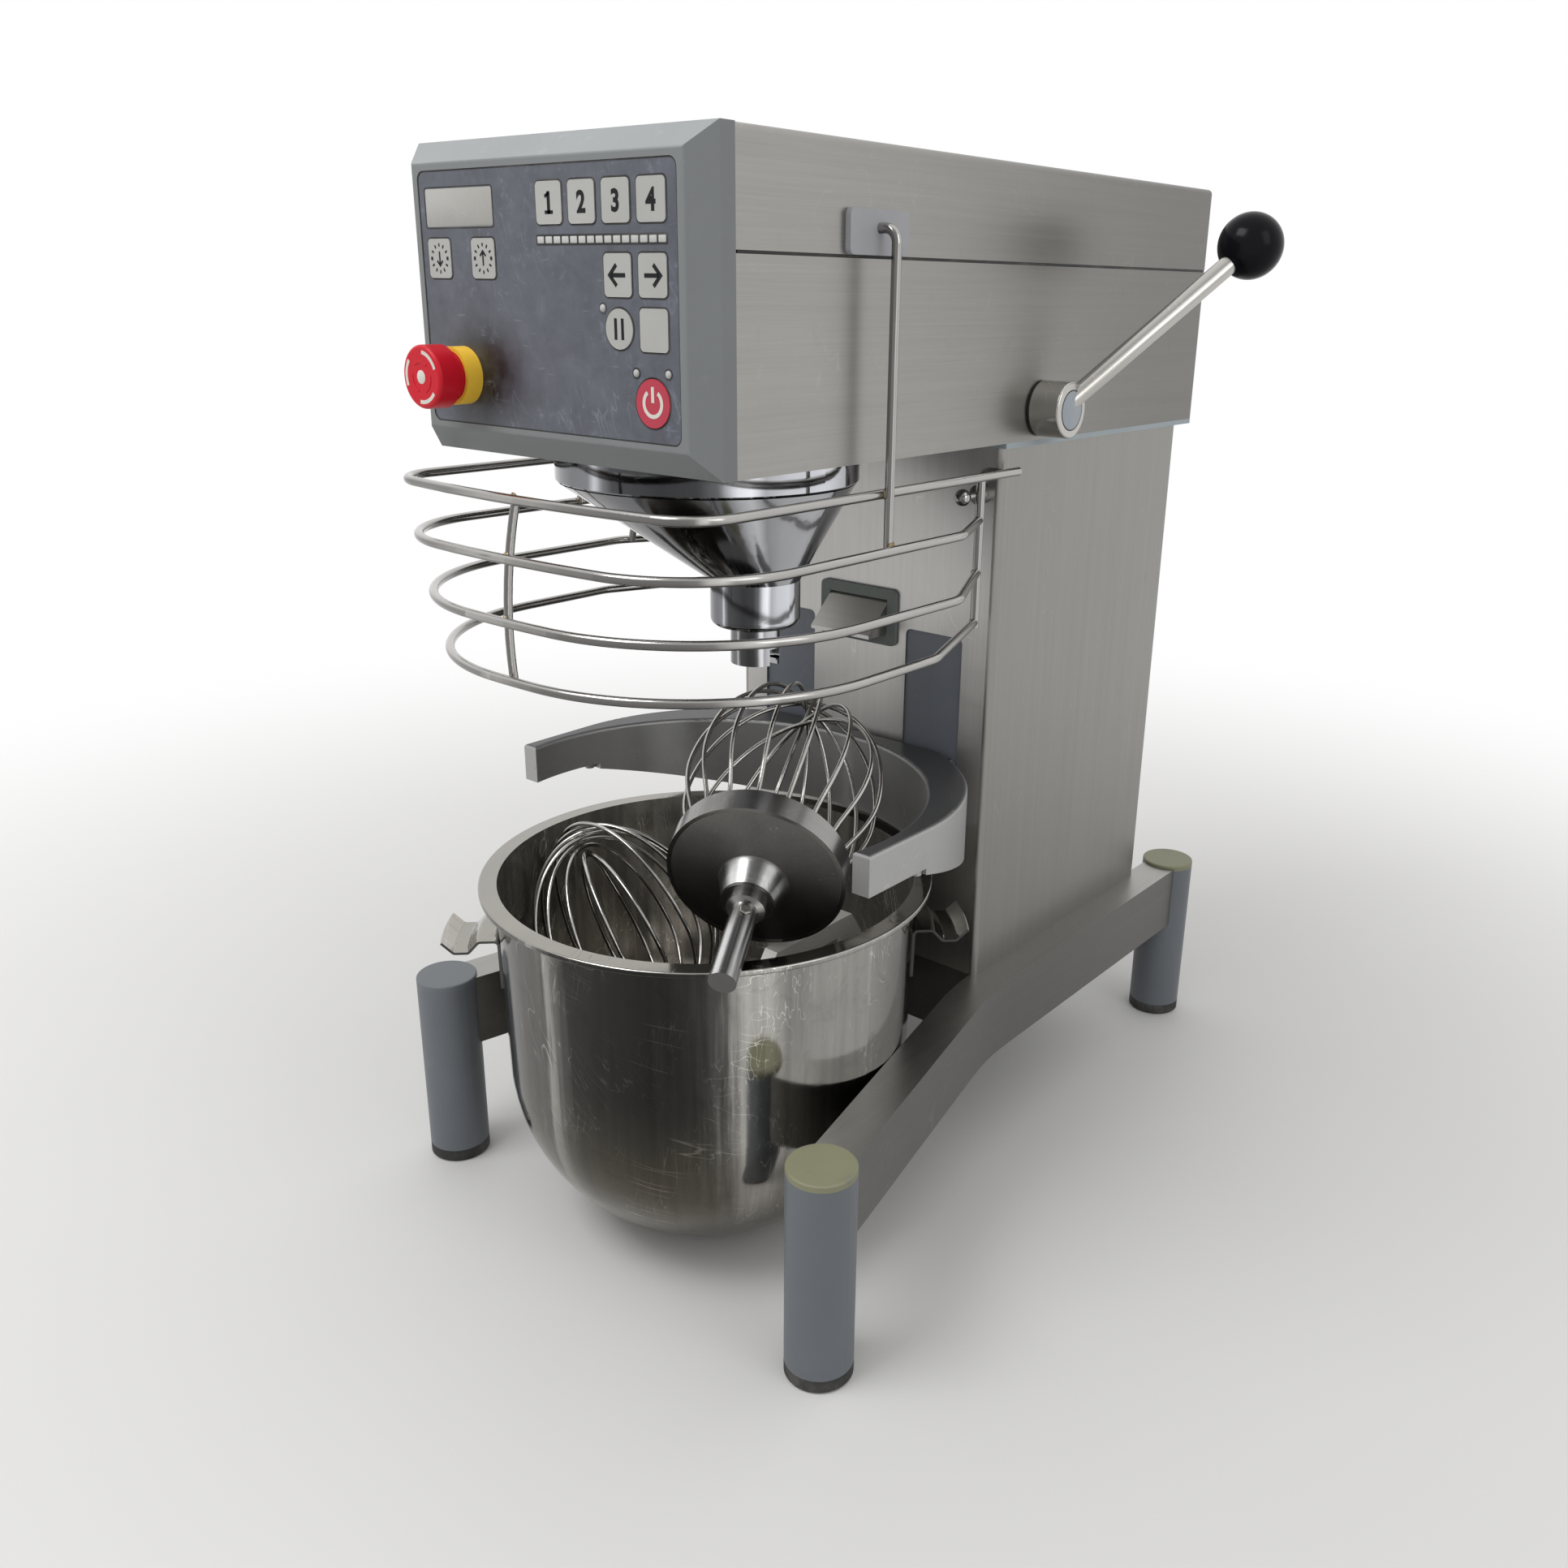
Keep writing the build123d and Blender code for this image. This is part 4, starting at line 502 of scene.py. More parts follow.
def painted_reflection_bowl(name, tint):
    """Spun bowl steel: a painted room reflection in upright bands, browner and softer low down, with scratches.
    """
    f = Finish(name)
    x, y, z = f.axes()
    low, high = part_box("bowl")
    dx = x - (low.x + high.x) / 2
    dy = y - (low.y + high.y) / 2
    angle = dy.math("ARCTAN2", dx)
    radius = (dx * dx + dy * dy).root()
    nx, ny, nz = f.axes(f.facing())
    outside = (nx * dx + ny * dy).step(-0.02, 0.02)
    lips = nz.step(0.55, 0.85)
    off_lips = 1 - lips
    # Painted reflection bands: upright bands of light and dark by the angle round the bowl.
    painted_reflection_band = f.noise(f.join(angle * 6.0, z * 1.5, radius * 2.0), 4.0, 4.0, 0.6, 0.15)
    rings = f.noise(f.join(z * 700.0, radius * 700.0, angle * 0.6), 1.0, 2.0, 0.5)
    cloud = f.noise(f.place(), 12.0, 5.0, 0.62, 0.6)
    film = f.noise(f.place(shift=(5, 1, 2)), 34.0, 4.0, 0.7, 1.2).step(0.52, 0.70)
    marks = scratches(f, 80.0, 0.012)
    fine = scratches(f, 230.0, 0.018, TWO_WAYS + ((1.7, 0.2, 0.2),))

    # Painted reflection of a room on the outside wall, browner and softer low down; the inside is banded by the
    # same painted reflection bands.
    wall = painted_room_reflection(f, painted_reflection_band * 0.7 + cloud * 0.3, 0.42, 0.16)
    belly = (1 - (z + (cloud - 0.5) * 0.05).step(0.075, 0.185)) * outside
    foot = (1 - (z + (cloud - 0.5) * 0.03).step(0.035, 0.095)) * outside
    wall = f.mix(belly * 0.45, wall, (0.19, 0.172, 0.138))
    wall = f.mix(foot * 0.8, wall, (0.27, 0.26, 0.24))
    inner = f.shade((0.48, 0.47, 0.455), 0.70 + painted_reflection_band * 0.6)
    tone = f.mix(lips, f.mix(outside, inner, wall), (0.36, 0.355, 0.34))

    wear = (marks * 1.3 + fine * 0.8 - film * 0.10) * off_lips
    light = 0.86 + (painted_reflection_band - 0.5) * 0.50 * off_lips + (cloud - 0.5) * 0.24 + wear
    gloss = 0.10 + (cloud - 0.4) * 0.10 + film * 0.08 + marks * 0.25 + fine * 0.14 + (painted_reflection_band - 0.5) * 0.10
    relief = f.bump(marks * 0.6 + fine * 0.4 + rings * 0.10 + film * 0.10, 0.10, 0.0003)
    base = f.shade(f.tinted(tone, tint), light.high(0.28))
    metal = 1 - (1 - outside) * off_lips * 0.16
    return f.surface(Base_Color=base, Metallic=metal, Roughness=gloss.high(0.06), Normal=relief)


DISC_R, BOSS_R, SHAFT_R = 0.0612, 0.0245, 0.030
DISC_FACE = -0.0256


def tool_hub(name, face, machined):
    """Whisk hubs: dark cast faces with painted light to the top; rim, boss, shaft turned bright with painted
    reflection; told apart by place.

    height runs along the disc's axis from its middle, and radius is the distance from that axis.
    """
    f = Finish(name)
    middle_point = tuple(float(v) for v in spot(*DISC_MID))
    moved = f.out(f.node("VectorMath", {"operation": "SUBTRACT"}, _0=f.object_place(), _1=middle_point))
    height = f.dot(moved, DISC_UP)
    length = f.out(f.node("VectorMath", {"operation": "LENGTH"}, _0=moved), "Value")
    radius = (length * length - height * height).high(0.0).root()
    rim = radius.step(DISC_R, DISC_R + 0.0006)
    boss = (1 - radius.step(BOSS_R, BOSS_R + 0.0017)) * (1 - height.step(DISC_FACE, DISC_FACE + 0.001))
    bright = (rim + boss).low(1.0)
    round_shaft = (1 - radius.step(SHAFT_R, SHAFT_R + 0.004)) * (
        1 - f.dot(f.facing(), DISC_UP).abs().step(0.80, 0.95)
    )

    fine = f.noise(f.place(), 520.0, 3.0, 0.6)
    cloud = f.noise(f.place(), 26.0, 4.0, 0.6, 0.4)
    turning = f.noise(f.join(height * 1600.0, radius * 900.0), 1.0, 2.0, 0.5)
    holes = pitting(f, 240.0, 0.25, (4, 1, 1), 50.0, 0.56)
    marks = scratches(f, 160.0, 0.02)

    # Painted light: the cast face is made lighter towards its top.
    lit = (f.dot(moved, DISC_RISE) * 14.0 + 1.25).high(0.35)
    cast_light = (0.75 + fine * 0.30 + (cloud - 0.5) * 0.60 + holes * 0.8) * lit
    turned_light = 0.84 + turning * 0.22 + (cloud - 0.5) * 0.30 + marks * 0.2
    # Painted reflection of a room on the turned parts, and painted reflection lines along the shaft.
    shown = f.tinted(painted_room_reflection(f, cloud, 0.16, 0.10, 0.8, 0.34), machined)
    flank = f.dot(f.facing(), DISC_SIDE) * 0.5 + 0.5 + (cloud - 0.5) * 0.06
    shown = f.mix(round_shaft * 0.85, shown, f.ramp(flank, SHAFT_PAINTED_REFLECTION))

    base = f.mix(bright, f.shade(face, cast_light), f.shade(shown, turned_light))
    gloss = 0.40 - bright * 0.24 + fine * 0.08 + cloud * 0.08
    relief = f.bump(fine * (1 - bright) * 0.5 + holes * 0.5 + turning * bright * 0.2, 0.22, 0.0004)
    return f.surface(Base_Color=base, Metallic=0.95, Roughness=gloss, Normal=relief)


HEAD_STEEL = (0.35, 0.343, 0.322)
BEAM_STEEL = (0.172, 0.170, 0.163)
STOP_YELLOW, YELLOW_GRIME = (1.0, 0.62, 0.060), (0.95, 0.55, 0.05)
CHROME_TINT = (1.55, 1.57, 1.66)
WIRE_TINT = (1.15, 1.12, 1.06)
GUARD_TINT = (1.0, 0.98, 0.94)

paints = {
    "head_steel": brushed("head_steel", HEAD_STEEL, "y", 0.30, painted_shade_to_back=0.46),
    "column_steel": brushed("column_steel", (0.285, 0.28, 0.262), "z", 0.32),
    "beam_steel": brushed("beam_steel", BEAM_STEEL, "y", 0.31, dirt=0.8, painted_top_light=1.05),
    "post_paint": moulded("post_paint", (0.125, 0.138, 0.155), 0.40, wear=0.25),
    "cap_plastic": capped("cap_plastic", (0.13, 0.145, 0.155), (0.20, 0.20, 0.125)),
    "foot_rubber": rubbery("foot_rubber", (0.02, 0.02, 0.02)),
    "gasket_rubber": two_gaskets("gasket_rubber", (0.30, 0.35, 0.38), (0.15, 0.17, 0.16)),
    "hood_steel": brushed("hood_steel", (0.42, 0.415, 0.40), "x", 0.28, 1200.0, 0.3, painted_top_light=0.3, relief=0.02),
    "bezel_plastic": moulded("bezel_plastic", (0.185, 0.197, 0.200), 0.42, 1400.0, 0.35, painted_top_light=0.45),
    "foil": foil_sheet("foil", (0.095, 0.102, 0.128)),
    "key_plastic": moulded("key_plastic", (0.40, 0.40, 0.385), 0.38, 1800.0, 0.2),
    "key_red": moulded("key_red", (0.47, 0.045, 0.075), 0.36, 1800.0, 0.2, shine=0.3),
    "board": moulded("board", (0.02, 0.09, 0.04), 0.4),
    "stop_yellow": moulded("stop_yellow", STOP_YELLOW, 0.36, 1200.0, 0.3, grime=YELLOW_GRIME, shine=0.35),
    "stop_red": moulded("stop_red", (0.58, 0.006, 0.020), 0.34, 1500.0, 0.3, shine=0.25),
    "chassis_cast": cast("chassis_cast", (0.40, 0.40, 0.40)),
    "gear_steel": brushed("gear_steel", (0.36, 0.355, 0.35), "z", 0.22, 700.0, 0.3),
    "pulley_metal": brushed("pulley_metal", (0.42, 0.42, 0.42), "z", 0.3, 500.0, 0.3),
    "motor_paint": moulded("motor_paint", (0.06, 0.08, 0.10), 0.45),
    "belt_rubber": rubbery("belt_rubber", (0.02, 0.02, 0.02)),
    "band_chrome": polished("band_chrome", CHROME_TINT, 0.05, 0.3, 0.4, ground=0.14),
    "cone_metal": polished("cone_metal", CHROME_TINT, 0.07, 0.5, 0.4, ground=0.14),
    "lever_nickel": polished("lever_nickel", (1.24, 1.20, 1.13), 0.18, 0.8, strength=0.45, plain=0.42),
    "knob_plastic": moulded("knob_plastic", (0.004, 0.004, 0.006), 0.16, 900.0, 0.1, shine=0.10),
    "yoke_cast": ground_casting("yoke_cast", (1.0, 1.0, 0.99)),
    "cover_paint": moulded("cover_paint", (0.152, 0.168, 0.195), 0.42, wear=1.0),
    "guard_wire": polished("guard_wire", GUARD_TINT, 0.15, 0.5, 0.35, strength=0.75, plain=0.52, ground=0.06),
    "bowl_steel": painted_reflection_bowl("bowl_steel", (1.12, 1.09, 1.03)),
    "whisk_wire": polished("whisk_wire", WIRE_TINT, 0.12, 0.4, 0.25, strength=0.8, plain=0.54, ground=0.08),
    "whisk_hub": tool_hub("whisk_hub", (0.080, 0.078, 0.075), (1.45, 1.43, 1.38)),
    "beater_cast": cast("beater_cast", (0.72, 0.71, 0.68), 0.26, 0.3, metal=0.4),
}
own_paints = {
    # The column's front: a lighter copy of the column steel, painted light against the shade under the head.
    "column_front": brushed("front_steel_painted_lighter", (0.45, 0.44, 0.425), "z", 0.28, dirt=1.0),
    "tool_socket": polished("socket_chrome", (1.3, 1.3, 1.34), 0.08, 0.4, 0.5),
    "guard_plates": moulded("plate_plastic", (0.36, 0.365, 0.39), 0.5, 900.0, 0.2),
}
for part in frame["record"]["subparts"]:
    solid = nodes[part["node"]]
    paint = own_paints.get(part["node"], paints[part["material_slot"]])
    for holder in solid.material_slots:
        holder.material = paint
    if not solid.material_slots:
        solid.data.materials.append(paint)


# ---------------------------------------------------------------- mesh tools
class Shell:
    """Collects parametric grids, in millimetres of the maker's frame, into one mesh."""

    def __init__(self):
        self.points = []
        self.faces = []
        self.count = 0

    def grid(self, place, wrap_u=False, wrap_v=False):
        """Quads over a (u, v) array of points; wrap joins the last row or column to the first."""
        rows, cols = place.shape[:2]
        u = np.arange(rows if wrap_u else rows - 1)
        v = np.arange(cols if wrap_v else cols - 1)
        a, b = np.meshgrid(u, v, indexing="ij")
        a2, b2 = (a + 1) % rows, (b + 1) % cols
        quads = np.stack([a * cols + b, a2 * cols + b, a2 * cols + b2, a * cols + b2], axis=-1) + self.count
        self.points.append(place.reshape(-1, 3))
        self.faces.extend(quads.reshape(-1, 4).tolist())
        self.count += rows * cols

    def lid(self, loop):
        """One flat face over a loop of points."""
        self.points.append(np.asarray(loop, float))
        self.faces.append(list(range(self.count, self.count + len(loop))))
        self.count += len(loop)

    def mesh(self, name):
        """The collected grids as one mesh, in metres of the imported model's frame."""
        made = bpy.data.meshes.new(name)
        made.from_pydata(spots(np.vstack(self.points)).tolist(), [], self.faces)
        return made

    def piece(self, name, paint, body, smooth=40.0, bevel=0.0):
        """The collected grids as a piece that rides on a body."""
        riding(name, self.mesh(name), paint, body, smooth, bevel)


def weld_doubles(mesh, smooth):
    """Merges doubled points, turns all faces outwards and smooths below an edge angle."""
    work = bmesh.new()
    work.from_mesh(mesh)
    bmesh.ops.remove_doubles(work, verts=work.verts, dist=1e-6)
    bmesh.ops.dissolve_degenerate(work, edges=work.edges, dist=1e-7)
    bmesh.ops.recalc_face_normals(work, faces=work.faces)
    for face in work.faces:
        face.smooth = True
    for edge in work.edges:
        edge.smooth = len(edge.link_faces) == 2 and edge.calc_face_angle(0.0) < math.radians(smooth)
    work.to_mesh(mesh)
    work.free()


def linked(name, data):
    """An object at the origin for a mesh, a curve or a lamp."""
    made = bpy.data.objects.new(name, data)
    bpy.context.scene.collection.objects.link(made)
    return made


def riding(name, mesh, paint, body, smooth, bevel=0.0):
    """A mesh as a finished piece: doubles merged, painted, its edges bevelled if asked, riding on a body."""
    made = linked(name, mesh)
    weld_doubles(mesh, smooth)
    mesh.materials.append(paint)
    if bevel:
        soft = made.modifiers.new("edge", "BEVEL")
        soft.width = bevel * MM
        soft.segments = 2
        soft.limit_method = "ANGLE"
        soft.angle_limit = math.radians(40)
    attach(made, body)


def arc(radius, start, end, steps=24):
    """Points of a circular arc from one angle to another, in degrees."""
    angle = np.radians(np.linspace(start, end, steps))
    return np.stack([radius * np.cos(angle), radius * np.sin(angle)], -1)


def circle(radius, steps):
    """A closed circle of that many points, the first one not repeated."""
    return arc(radius, 0, 360, steps + 1)[:-1]


def round_rect(half_w, half_h, corner, steps=6):
    """Closed outline of a rounded rectangle: four quarter circles joined by its straight sides."""
    out = []
    for n, (side_x, side_z) in enumerate(((1, 1), (-1, 1), (-1, -1), (1, -1))):
        centre = np.array([side_x * (half_w - corner), side_z * (half_h - corner)])
        out.append(centre + arc(corner, 90 * n, 90 * n + 90, steps))
    return np.vstack(out)


def unit(vectors):
    """Each vector divided by its length."""
    return vectors / np.maximum(np.linalg.norm(vectors, axis=-1, keepdims=True), 1e-9)


def face_plane(points, y, at):
    """Flat (x, z) points set on the panel at depth y, moved to the (x, z) place at."""
    points = np.asarray(points, float)
    return np.stack([points[..., 0] + at[0], np.full(points.shape[:-1], float(y)), points[..., 1] + at[1]], -1)


def seat(level, sunk, proud):
    """Back and front y of a thin piece on a face at that level: sunk into it, standing proud of it."""
    return level + sunk, level - proud


def plate(shell, outline, depths, at, edge):
    """A flat plate with a softened front edge.

    Three rows of its outline: at the back, at the front less the edge, and inset at the front.
    """
    outline = np.asarray(outline, float)
    centre = outline.mean(0)
    reach = np.abs(outline - centre).max()
    inset = centre + (outline - centre) * (1 - edge / reach)
    y_back, y_front = depths
    back = face_plane(outline, y_back, at)
    shoulder = face_plane(outline, y_front + edge * 0.7, at)
    front = face_plane(inset, y_front, at)
    shell.grid(np.stack([back, shoulder, front]), wrap_v=True)
    shell.lid(front)
    shell.lid(back)


def stroke(shell, path, width, depths, at, closed=False):
    """A flat line of a symbol: a box section of that width carried along a path, with mitred corners."""
    path = np.asarray(path, float)
    if closed:
        ahead = np.roll(path, -1, 0) - path
        behind = path - np.roll(path, 1, 0)
    else:
        ahead = np.vstack([path[1:] - path[:-1], path[-1:] - path[-2:-1]])
        behind = np.vstack([ahead[:1], ahead[:-1]])
    along = unit(ahead)
    mitre = unit(along + unit(behind))
    side = np.stack([-mitre[:, 1], mitre[:, 0]], -1)
    stretch = 1 / np.maximum((mitre * along).sum(-1, keepdims=True), 0.35)
    off = side * stretch * width / 2
    left, right = path + off, path - off
    y_back, y_front = depths
    edges = ((left, y_back), (left, y_front), (right, y_front), (right, y_back))
    rows = np.stack([face_plane(line, y, at) for line, y in edges], axis=1)
    shell.grid(rows, wrap_u=closed, wrap_v=True)
    if not closed:
        shell.lid(rows[0])
        shell.lid(rows[-1])


def lathe(shell, profile, origin, axis, around=48):
    """A surface of revolution: (height, radius) pairs turned about an axis through the origin."""
    profile = np.asarray(profile, float)
    axis = unit(np.asarray(axis, float))
    helper = np.array([0.0, 0.0, 1.0]) if abs(axis[2]) < 0.9 else np.array([1.0, 0.0, 0.0])
    across = unit(np.cross(axis, helper))
    third = np.cross(axis, across)
    angle = np.linspace(0, 2 * np.pi, around + 1)[:-1]
    ring = np.cos(angle)[:, None] * across + np.sin(angle)[:, None] * third
    heights = profile[:, 0][:, None, None] * axis
    radii = profile[:, 1][:, None, None] * ring[None, :, :]
    shell.grid(np.asarray(origin, float) + heights + radii, wrap_v=True)


def bead(shell, centre, size, seed, stretch):
    """A lump of weld metal: a small ball whose radius swells and shrinks with a few waves."""
    theta = np.linspace(0, np.pi, 11)[:, None]
    phi = np.linspace(0, 2 * np.pi, 19)[:-1][None, :]
    long_wave = 0.12 * np.sin(3 * phi + seed) * np.sin(2 * theta + seed)
    short_wave = 0.08 * np.sin(5 * theta + 2 * phi + 1.7 * seed)
    radius = size * (1 + long_wave + short_wave)
    x = radius * np.sin(theta) * np.cos(phi)
    y = radius * np.sin(theta) * np.sin(phi)
    z = radius * np.cos(theta)
    ball = np.stack([x, y, z], -1) * np.array(stretch, float)
    shell.grid(np.asarray(centre, float) + ball, wrap_v=True)


def ribbon(shell, outer, inner, low, high):
    """A band of box section between two (x, y) paths of equal length, from height low to height high."""
    edges = ((outer, low), (outer, high), (inner, high), (inner, low))
    rows = [np.column_stack([path, np.full(len(path), float(level))]) for path, level in edges]
    grid = np.stack(rows, axis=1)
    shell.grid(grid, wrap_v=True)
    shell.lid(grid[0])
    shell.lid(grid[-1])


def figure(name, letter, height, depths, at, paint, body):
    """A raised figure made from the built-in font, a little narrowed, set upright on the panel and centred."""
    curve = bpy.data.curves.new(name, "FONT")
    curve.body = letter
    curve.size = 1.0
    curve.offset = FIGURE_BOLD
    curve.extrude = 0.5
    curve.align_x = "CENTER"
    holder = linked(name, curve)
    bpy.context.view_layer.update()
    mesh = bpy.data.meshes.new_from_object(holder)
    bpy.data.objects.remove(holder)
    place = np.zeros(len(mesh.vertices) * 3)
    mesh.vertices.foreach_get("co", place)
    place = place.reshape(-1, 3)
    low, high = place.min(0), place.max(0)
    flat = (place - (low + high) / 2) * height / (high[1] - low[1])
    share = (place[:, 2] - low[2]) / (high[2] - low[2])
    y_back, y_front = depths
    depth = y_back + share * (y_front - y_back)
    upright = np.stack([flat[:, 0] * FIGURE_NARROW + at[0], depth, flat[:, 1] + at[1]], -1)
    mesh.vertices.foreach_set("co", spots(upright).ravel())
    mesh.materials.clear()
    riding(name, mesh, paint, body, 30)


# ---------------------------------------------------------------- panel
ROOT = "stand_and_head"
ink = moulded("symbol_ink", (0.012, 0.013, 0.014), 0.5, 1800.0, 0.2, shine=0.15)
ink_pale = moulded("symbol_pale", (0.66, 0.64, 0.58), 0.42, 1800.0, 0.3)
window = moulded("display_window", (0.345, 0.338, 0.318), 0.22, 2200.0, 0.5, coat=0.2)
seam_black = rubbery("seam_black", (0.012, 0.012, 0.012), 0.6)
bar_pale = moulded("bar_pale", (0.46, 0.46, 0.45), 0.38, 1500.0, 0.3)

SKIN = 0.12
foil_y = front_of("panel_foil")
ON_FOIL = seat(foil_y, 0.3, SKIN)
ON_KEY = seat(front_of("key_1"), 0.05, SKIN)

WINDOW_AT = (-77.6, 770.6)
WINDOW_HALF_W, WINDOW_HALF_H = 33.9, 11.4
BAR_AT = (53.7, 750.6)
BAR_W, BAR_H, BAR_CELLS = 112.0, 4.9, 15
LAMPS = ((54.6, 712.6), (81.7, 676.9), (108.4, 677.3))
KEY_HALF_W, KEY_HALF_H, KEY_CORNER = 12.15, 12.65, 3.4
ROUND_KEYS = ("key_pause", "key_power")
FIGURE_HEIGHT, FIGURE_BOLD, FIGURE_NARROW = 12.6, 0.034, 0.92


def on_panel(node):
    """The (x, z) place of a solid's middle."""
    mid = middle(node)
    return mid[0], mid[2]


def key_mark(key, name, strokes, paint=ink):
    """A symbol of (path, width) strokes on a key, riding on that key's body."""
    mark = Shell()
    for path, width in strokes:
        stroke(mark, path, width, ON_KEY, on_panel("key_" + key))
    mark.piece(name, paint, "button_" + key)


def panel_seams():
    """Dark lines round the foil, round every key and round the display window."""
    low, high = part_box("panel_foil")
    half_w, half_h = (high.x - low.x) / MM / 2, (high.z - low.z) / MM / 2
    seam = Shell()
    stroke(seam, round_rect(half_w - 0.2, half_h - 0.2, 6.0), 1.4, ON_FOIL, on_panel("panel_foil"), True)
    for key in [n for n in nodes if n.startswith("key_") and n != "key_board"]:
        if key in ROUND_KEYS:
            low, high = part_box(key)
            outline = circle((high.x - low.x) / MM / 2 - 0.75, 48)
        else:
            outline = round_rect(KEY_HALF_W, KEY_HALF_H, KEY_CORNER)
        stroke(seam, outline, 0.75, ON_FOIL, on_panel(key), True)
    window_gap = round_rect(WINDOW_HALF_W + 0.7, WINDOW_HALF_H + 0.8, 2.0)
    stroke(seam, window_gap, 0.7, ON_FOIL, WINDOW_AT, True)
    seam.piece("panel_seams", seam_black, ROOT, 60)


def display_window():
    """The blank display: a thin plate on the foil."""
    glass = Shell()
    plate(glass, round_rect(WINDOW_HALF_W, WINDOW_HALF_H, 1.8), seat(foil_y, 0.2, 0.16), WINDOW_AT, 0.25)
    glass.piece("display_window", window, ROOT, 50)


def bar_light():
    """The row of lights below the figures: a dark frame and its pale cells."""
    frame_plate = Shell()
    outline = round_rect(BAR_W / 2 + 0.7, BAR_H / 2 + 0.7, 1.2)
    plate(frame_plate, outline, seat(foil_y, 0.2, 0.14), BAR_AT, 0.2)
    frame_plate.piece("bar_light_frame", seam_black, ROOT, 50)
    cells = Shell()
    cell_w = BAR_W / BAR_CELLS
    outline = round_rect(cell_w / 2 - 0.75, BAR_H / 2 - 0.5, 0.5, 3)
    for n in range(BAR_CELLS):
        at = (BAR_AT[0] - BAR_W / 2 + cell_w * (n + 0.5), BAR_AT[1])
        plate(cells, outline, seat(foil_y, 0.1, 0.34), at, 0.15)
    cells.piece("bar_light_cells", bar_pale, ROOT, 50)


def panel_lamps():
    """Three small domed lamps, each with a dark ring round it."""
    lamps = Shell()
    collars = Shell()
    for x, z in LAMPS:
        lathe(lamps, [(0.0, 2.3), (0.5, 2.2), (1.1, 1.5), (1.4, 0.0)], (x, foil_y, z), (0, -1, 0), 20)
        stroke(collars, circle(2.9, 24), 0.8, seat(foil_y, 0.2, 0.2), (x, z), True)
    lamps.piece("panel_lamps", bar_pale, ROOT, 60)
    collars.piece("panel_lamp_collars", seam_black, ROOT, 60)


def figures():
    """The figures 1 to 4: the 1 from strokes, an upright with its foot and flag, the others from the font."""
    upright = (((0.3, -6.3), (0.3, 6.3)), 2.7)
    foot = (((-3.4, -5.3), (3.9, -5.3)), 2.0)
    flag = (((0.6, 5.3), (-3.0, 3.4)), 2.0)
    key_mark("1", "figure_1", (upright, foot, flag))
    for n in "234":
        at = on_panel("key_" + n)
        figure("figure_" + n, n, FIGURE_HEIGHT, ON_KEY, at, ink, "button_" + n)


def arrow(way, reach, head, width):
    """Strokes of an arrow: the shaft, and the open head whose arms lean back at 45 degrees."""
    way = np.array(way, float)
    side = np.array([-way[1], way[0]])
    tip = way * reach
    shaft = [-tip, tip - way * width * 0.7]
    open_head = [tip - way * head + side * head, tip, tip - way * head - side * head]
    return [(shaft, width), (open_head, width)]


def arrows_and_clocks():
    """Arrows left and right, and two timer signs: an arrow down or up within the twelve ticks of a clock."""
    for key, way in (("left", (-1, 0)), ("right", (1, 0))):
        key_mark(key, "arrow_" + key, arrow(way, 6.6, 5.8, 2.4))
    for key, way in (("timer_down", (0, -1)), ("timer_up", (0, 1))):
        strokes = arrow(way, 4.3, 2.9, 1.35)
        for n in range(12):
            spoke = arc(1.0, 30 * n, 30 * n, 1)[0]
            width = 2.1 if n % 6 == 0 else 1.15
            start = 7.0 if n % 3 else 7.2
            strokes.append(([spoke * start, spoke * 9.2], width))
        key_mark(key, "clock_" + key, strokes)


def pause_and_power():
    """Two upright bars, and the open ring with a bar through its gap."""
    key_mark("pause", "pause_bars", [([(x, -6.0), (x, 6.0)], 2.3) for x in (-2.9, 2.9)])
    ring = (arc(7.4, 125, 415, 40), 2.3)
    key_mark("power", "power_sign", (ring, ([(0, 0.5), (0, 9.6)], 2.3)), ink_pale)


def stop_marks():
    """On the stop's cap: three pale arcs and a pale middle spot, and three raised ridges of the cap itself."""
    at = on_panel("stop_cap")
    stop_y = front_of("stop_cap")
    mark = Shell()
    for n in range(3):
        start = 20 + 120 * n
        stroke(mark, arc(15.6, start, start + 62, 20), 2.4, seat(stop_y, 0.2, SKIN), at)
    plate(mark, circle(4.3, 32), seat(stop_y, 0.2, 0.2), at, 0.15)
    mark.piece("stop_marks", ink_pale, "emergency_stop")
    ridges = Shell()
    for n in range(3):
        start = 50 + 120 * n
        stroke(ridges, arc(9.6, start, start + 78, 20), 1.6, seat(stop_y, 0.2, 0.35), at)
    ridges.piece("stop_ridges", paints["stop_red"], "emergency_stop", bevel=0.15)


panel_seams()
display_window()
bar_light()
panel_lamps()
figures()
arrows_and_clocks()
pause_and_power()
stop_marks()

# ---------------------------------------------------------------- lever hub; painted shadows of the head seam and hub gap
HUB_FACE_X = 163.0
HEAD_HALF_W, HEAD_DEPTH, HEAD_EDGE_R = 136.0, 614.0, 4.0
SEAM_LOW, SEAM_HIGH = 743.6, 745.4


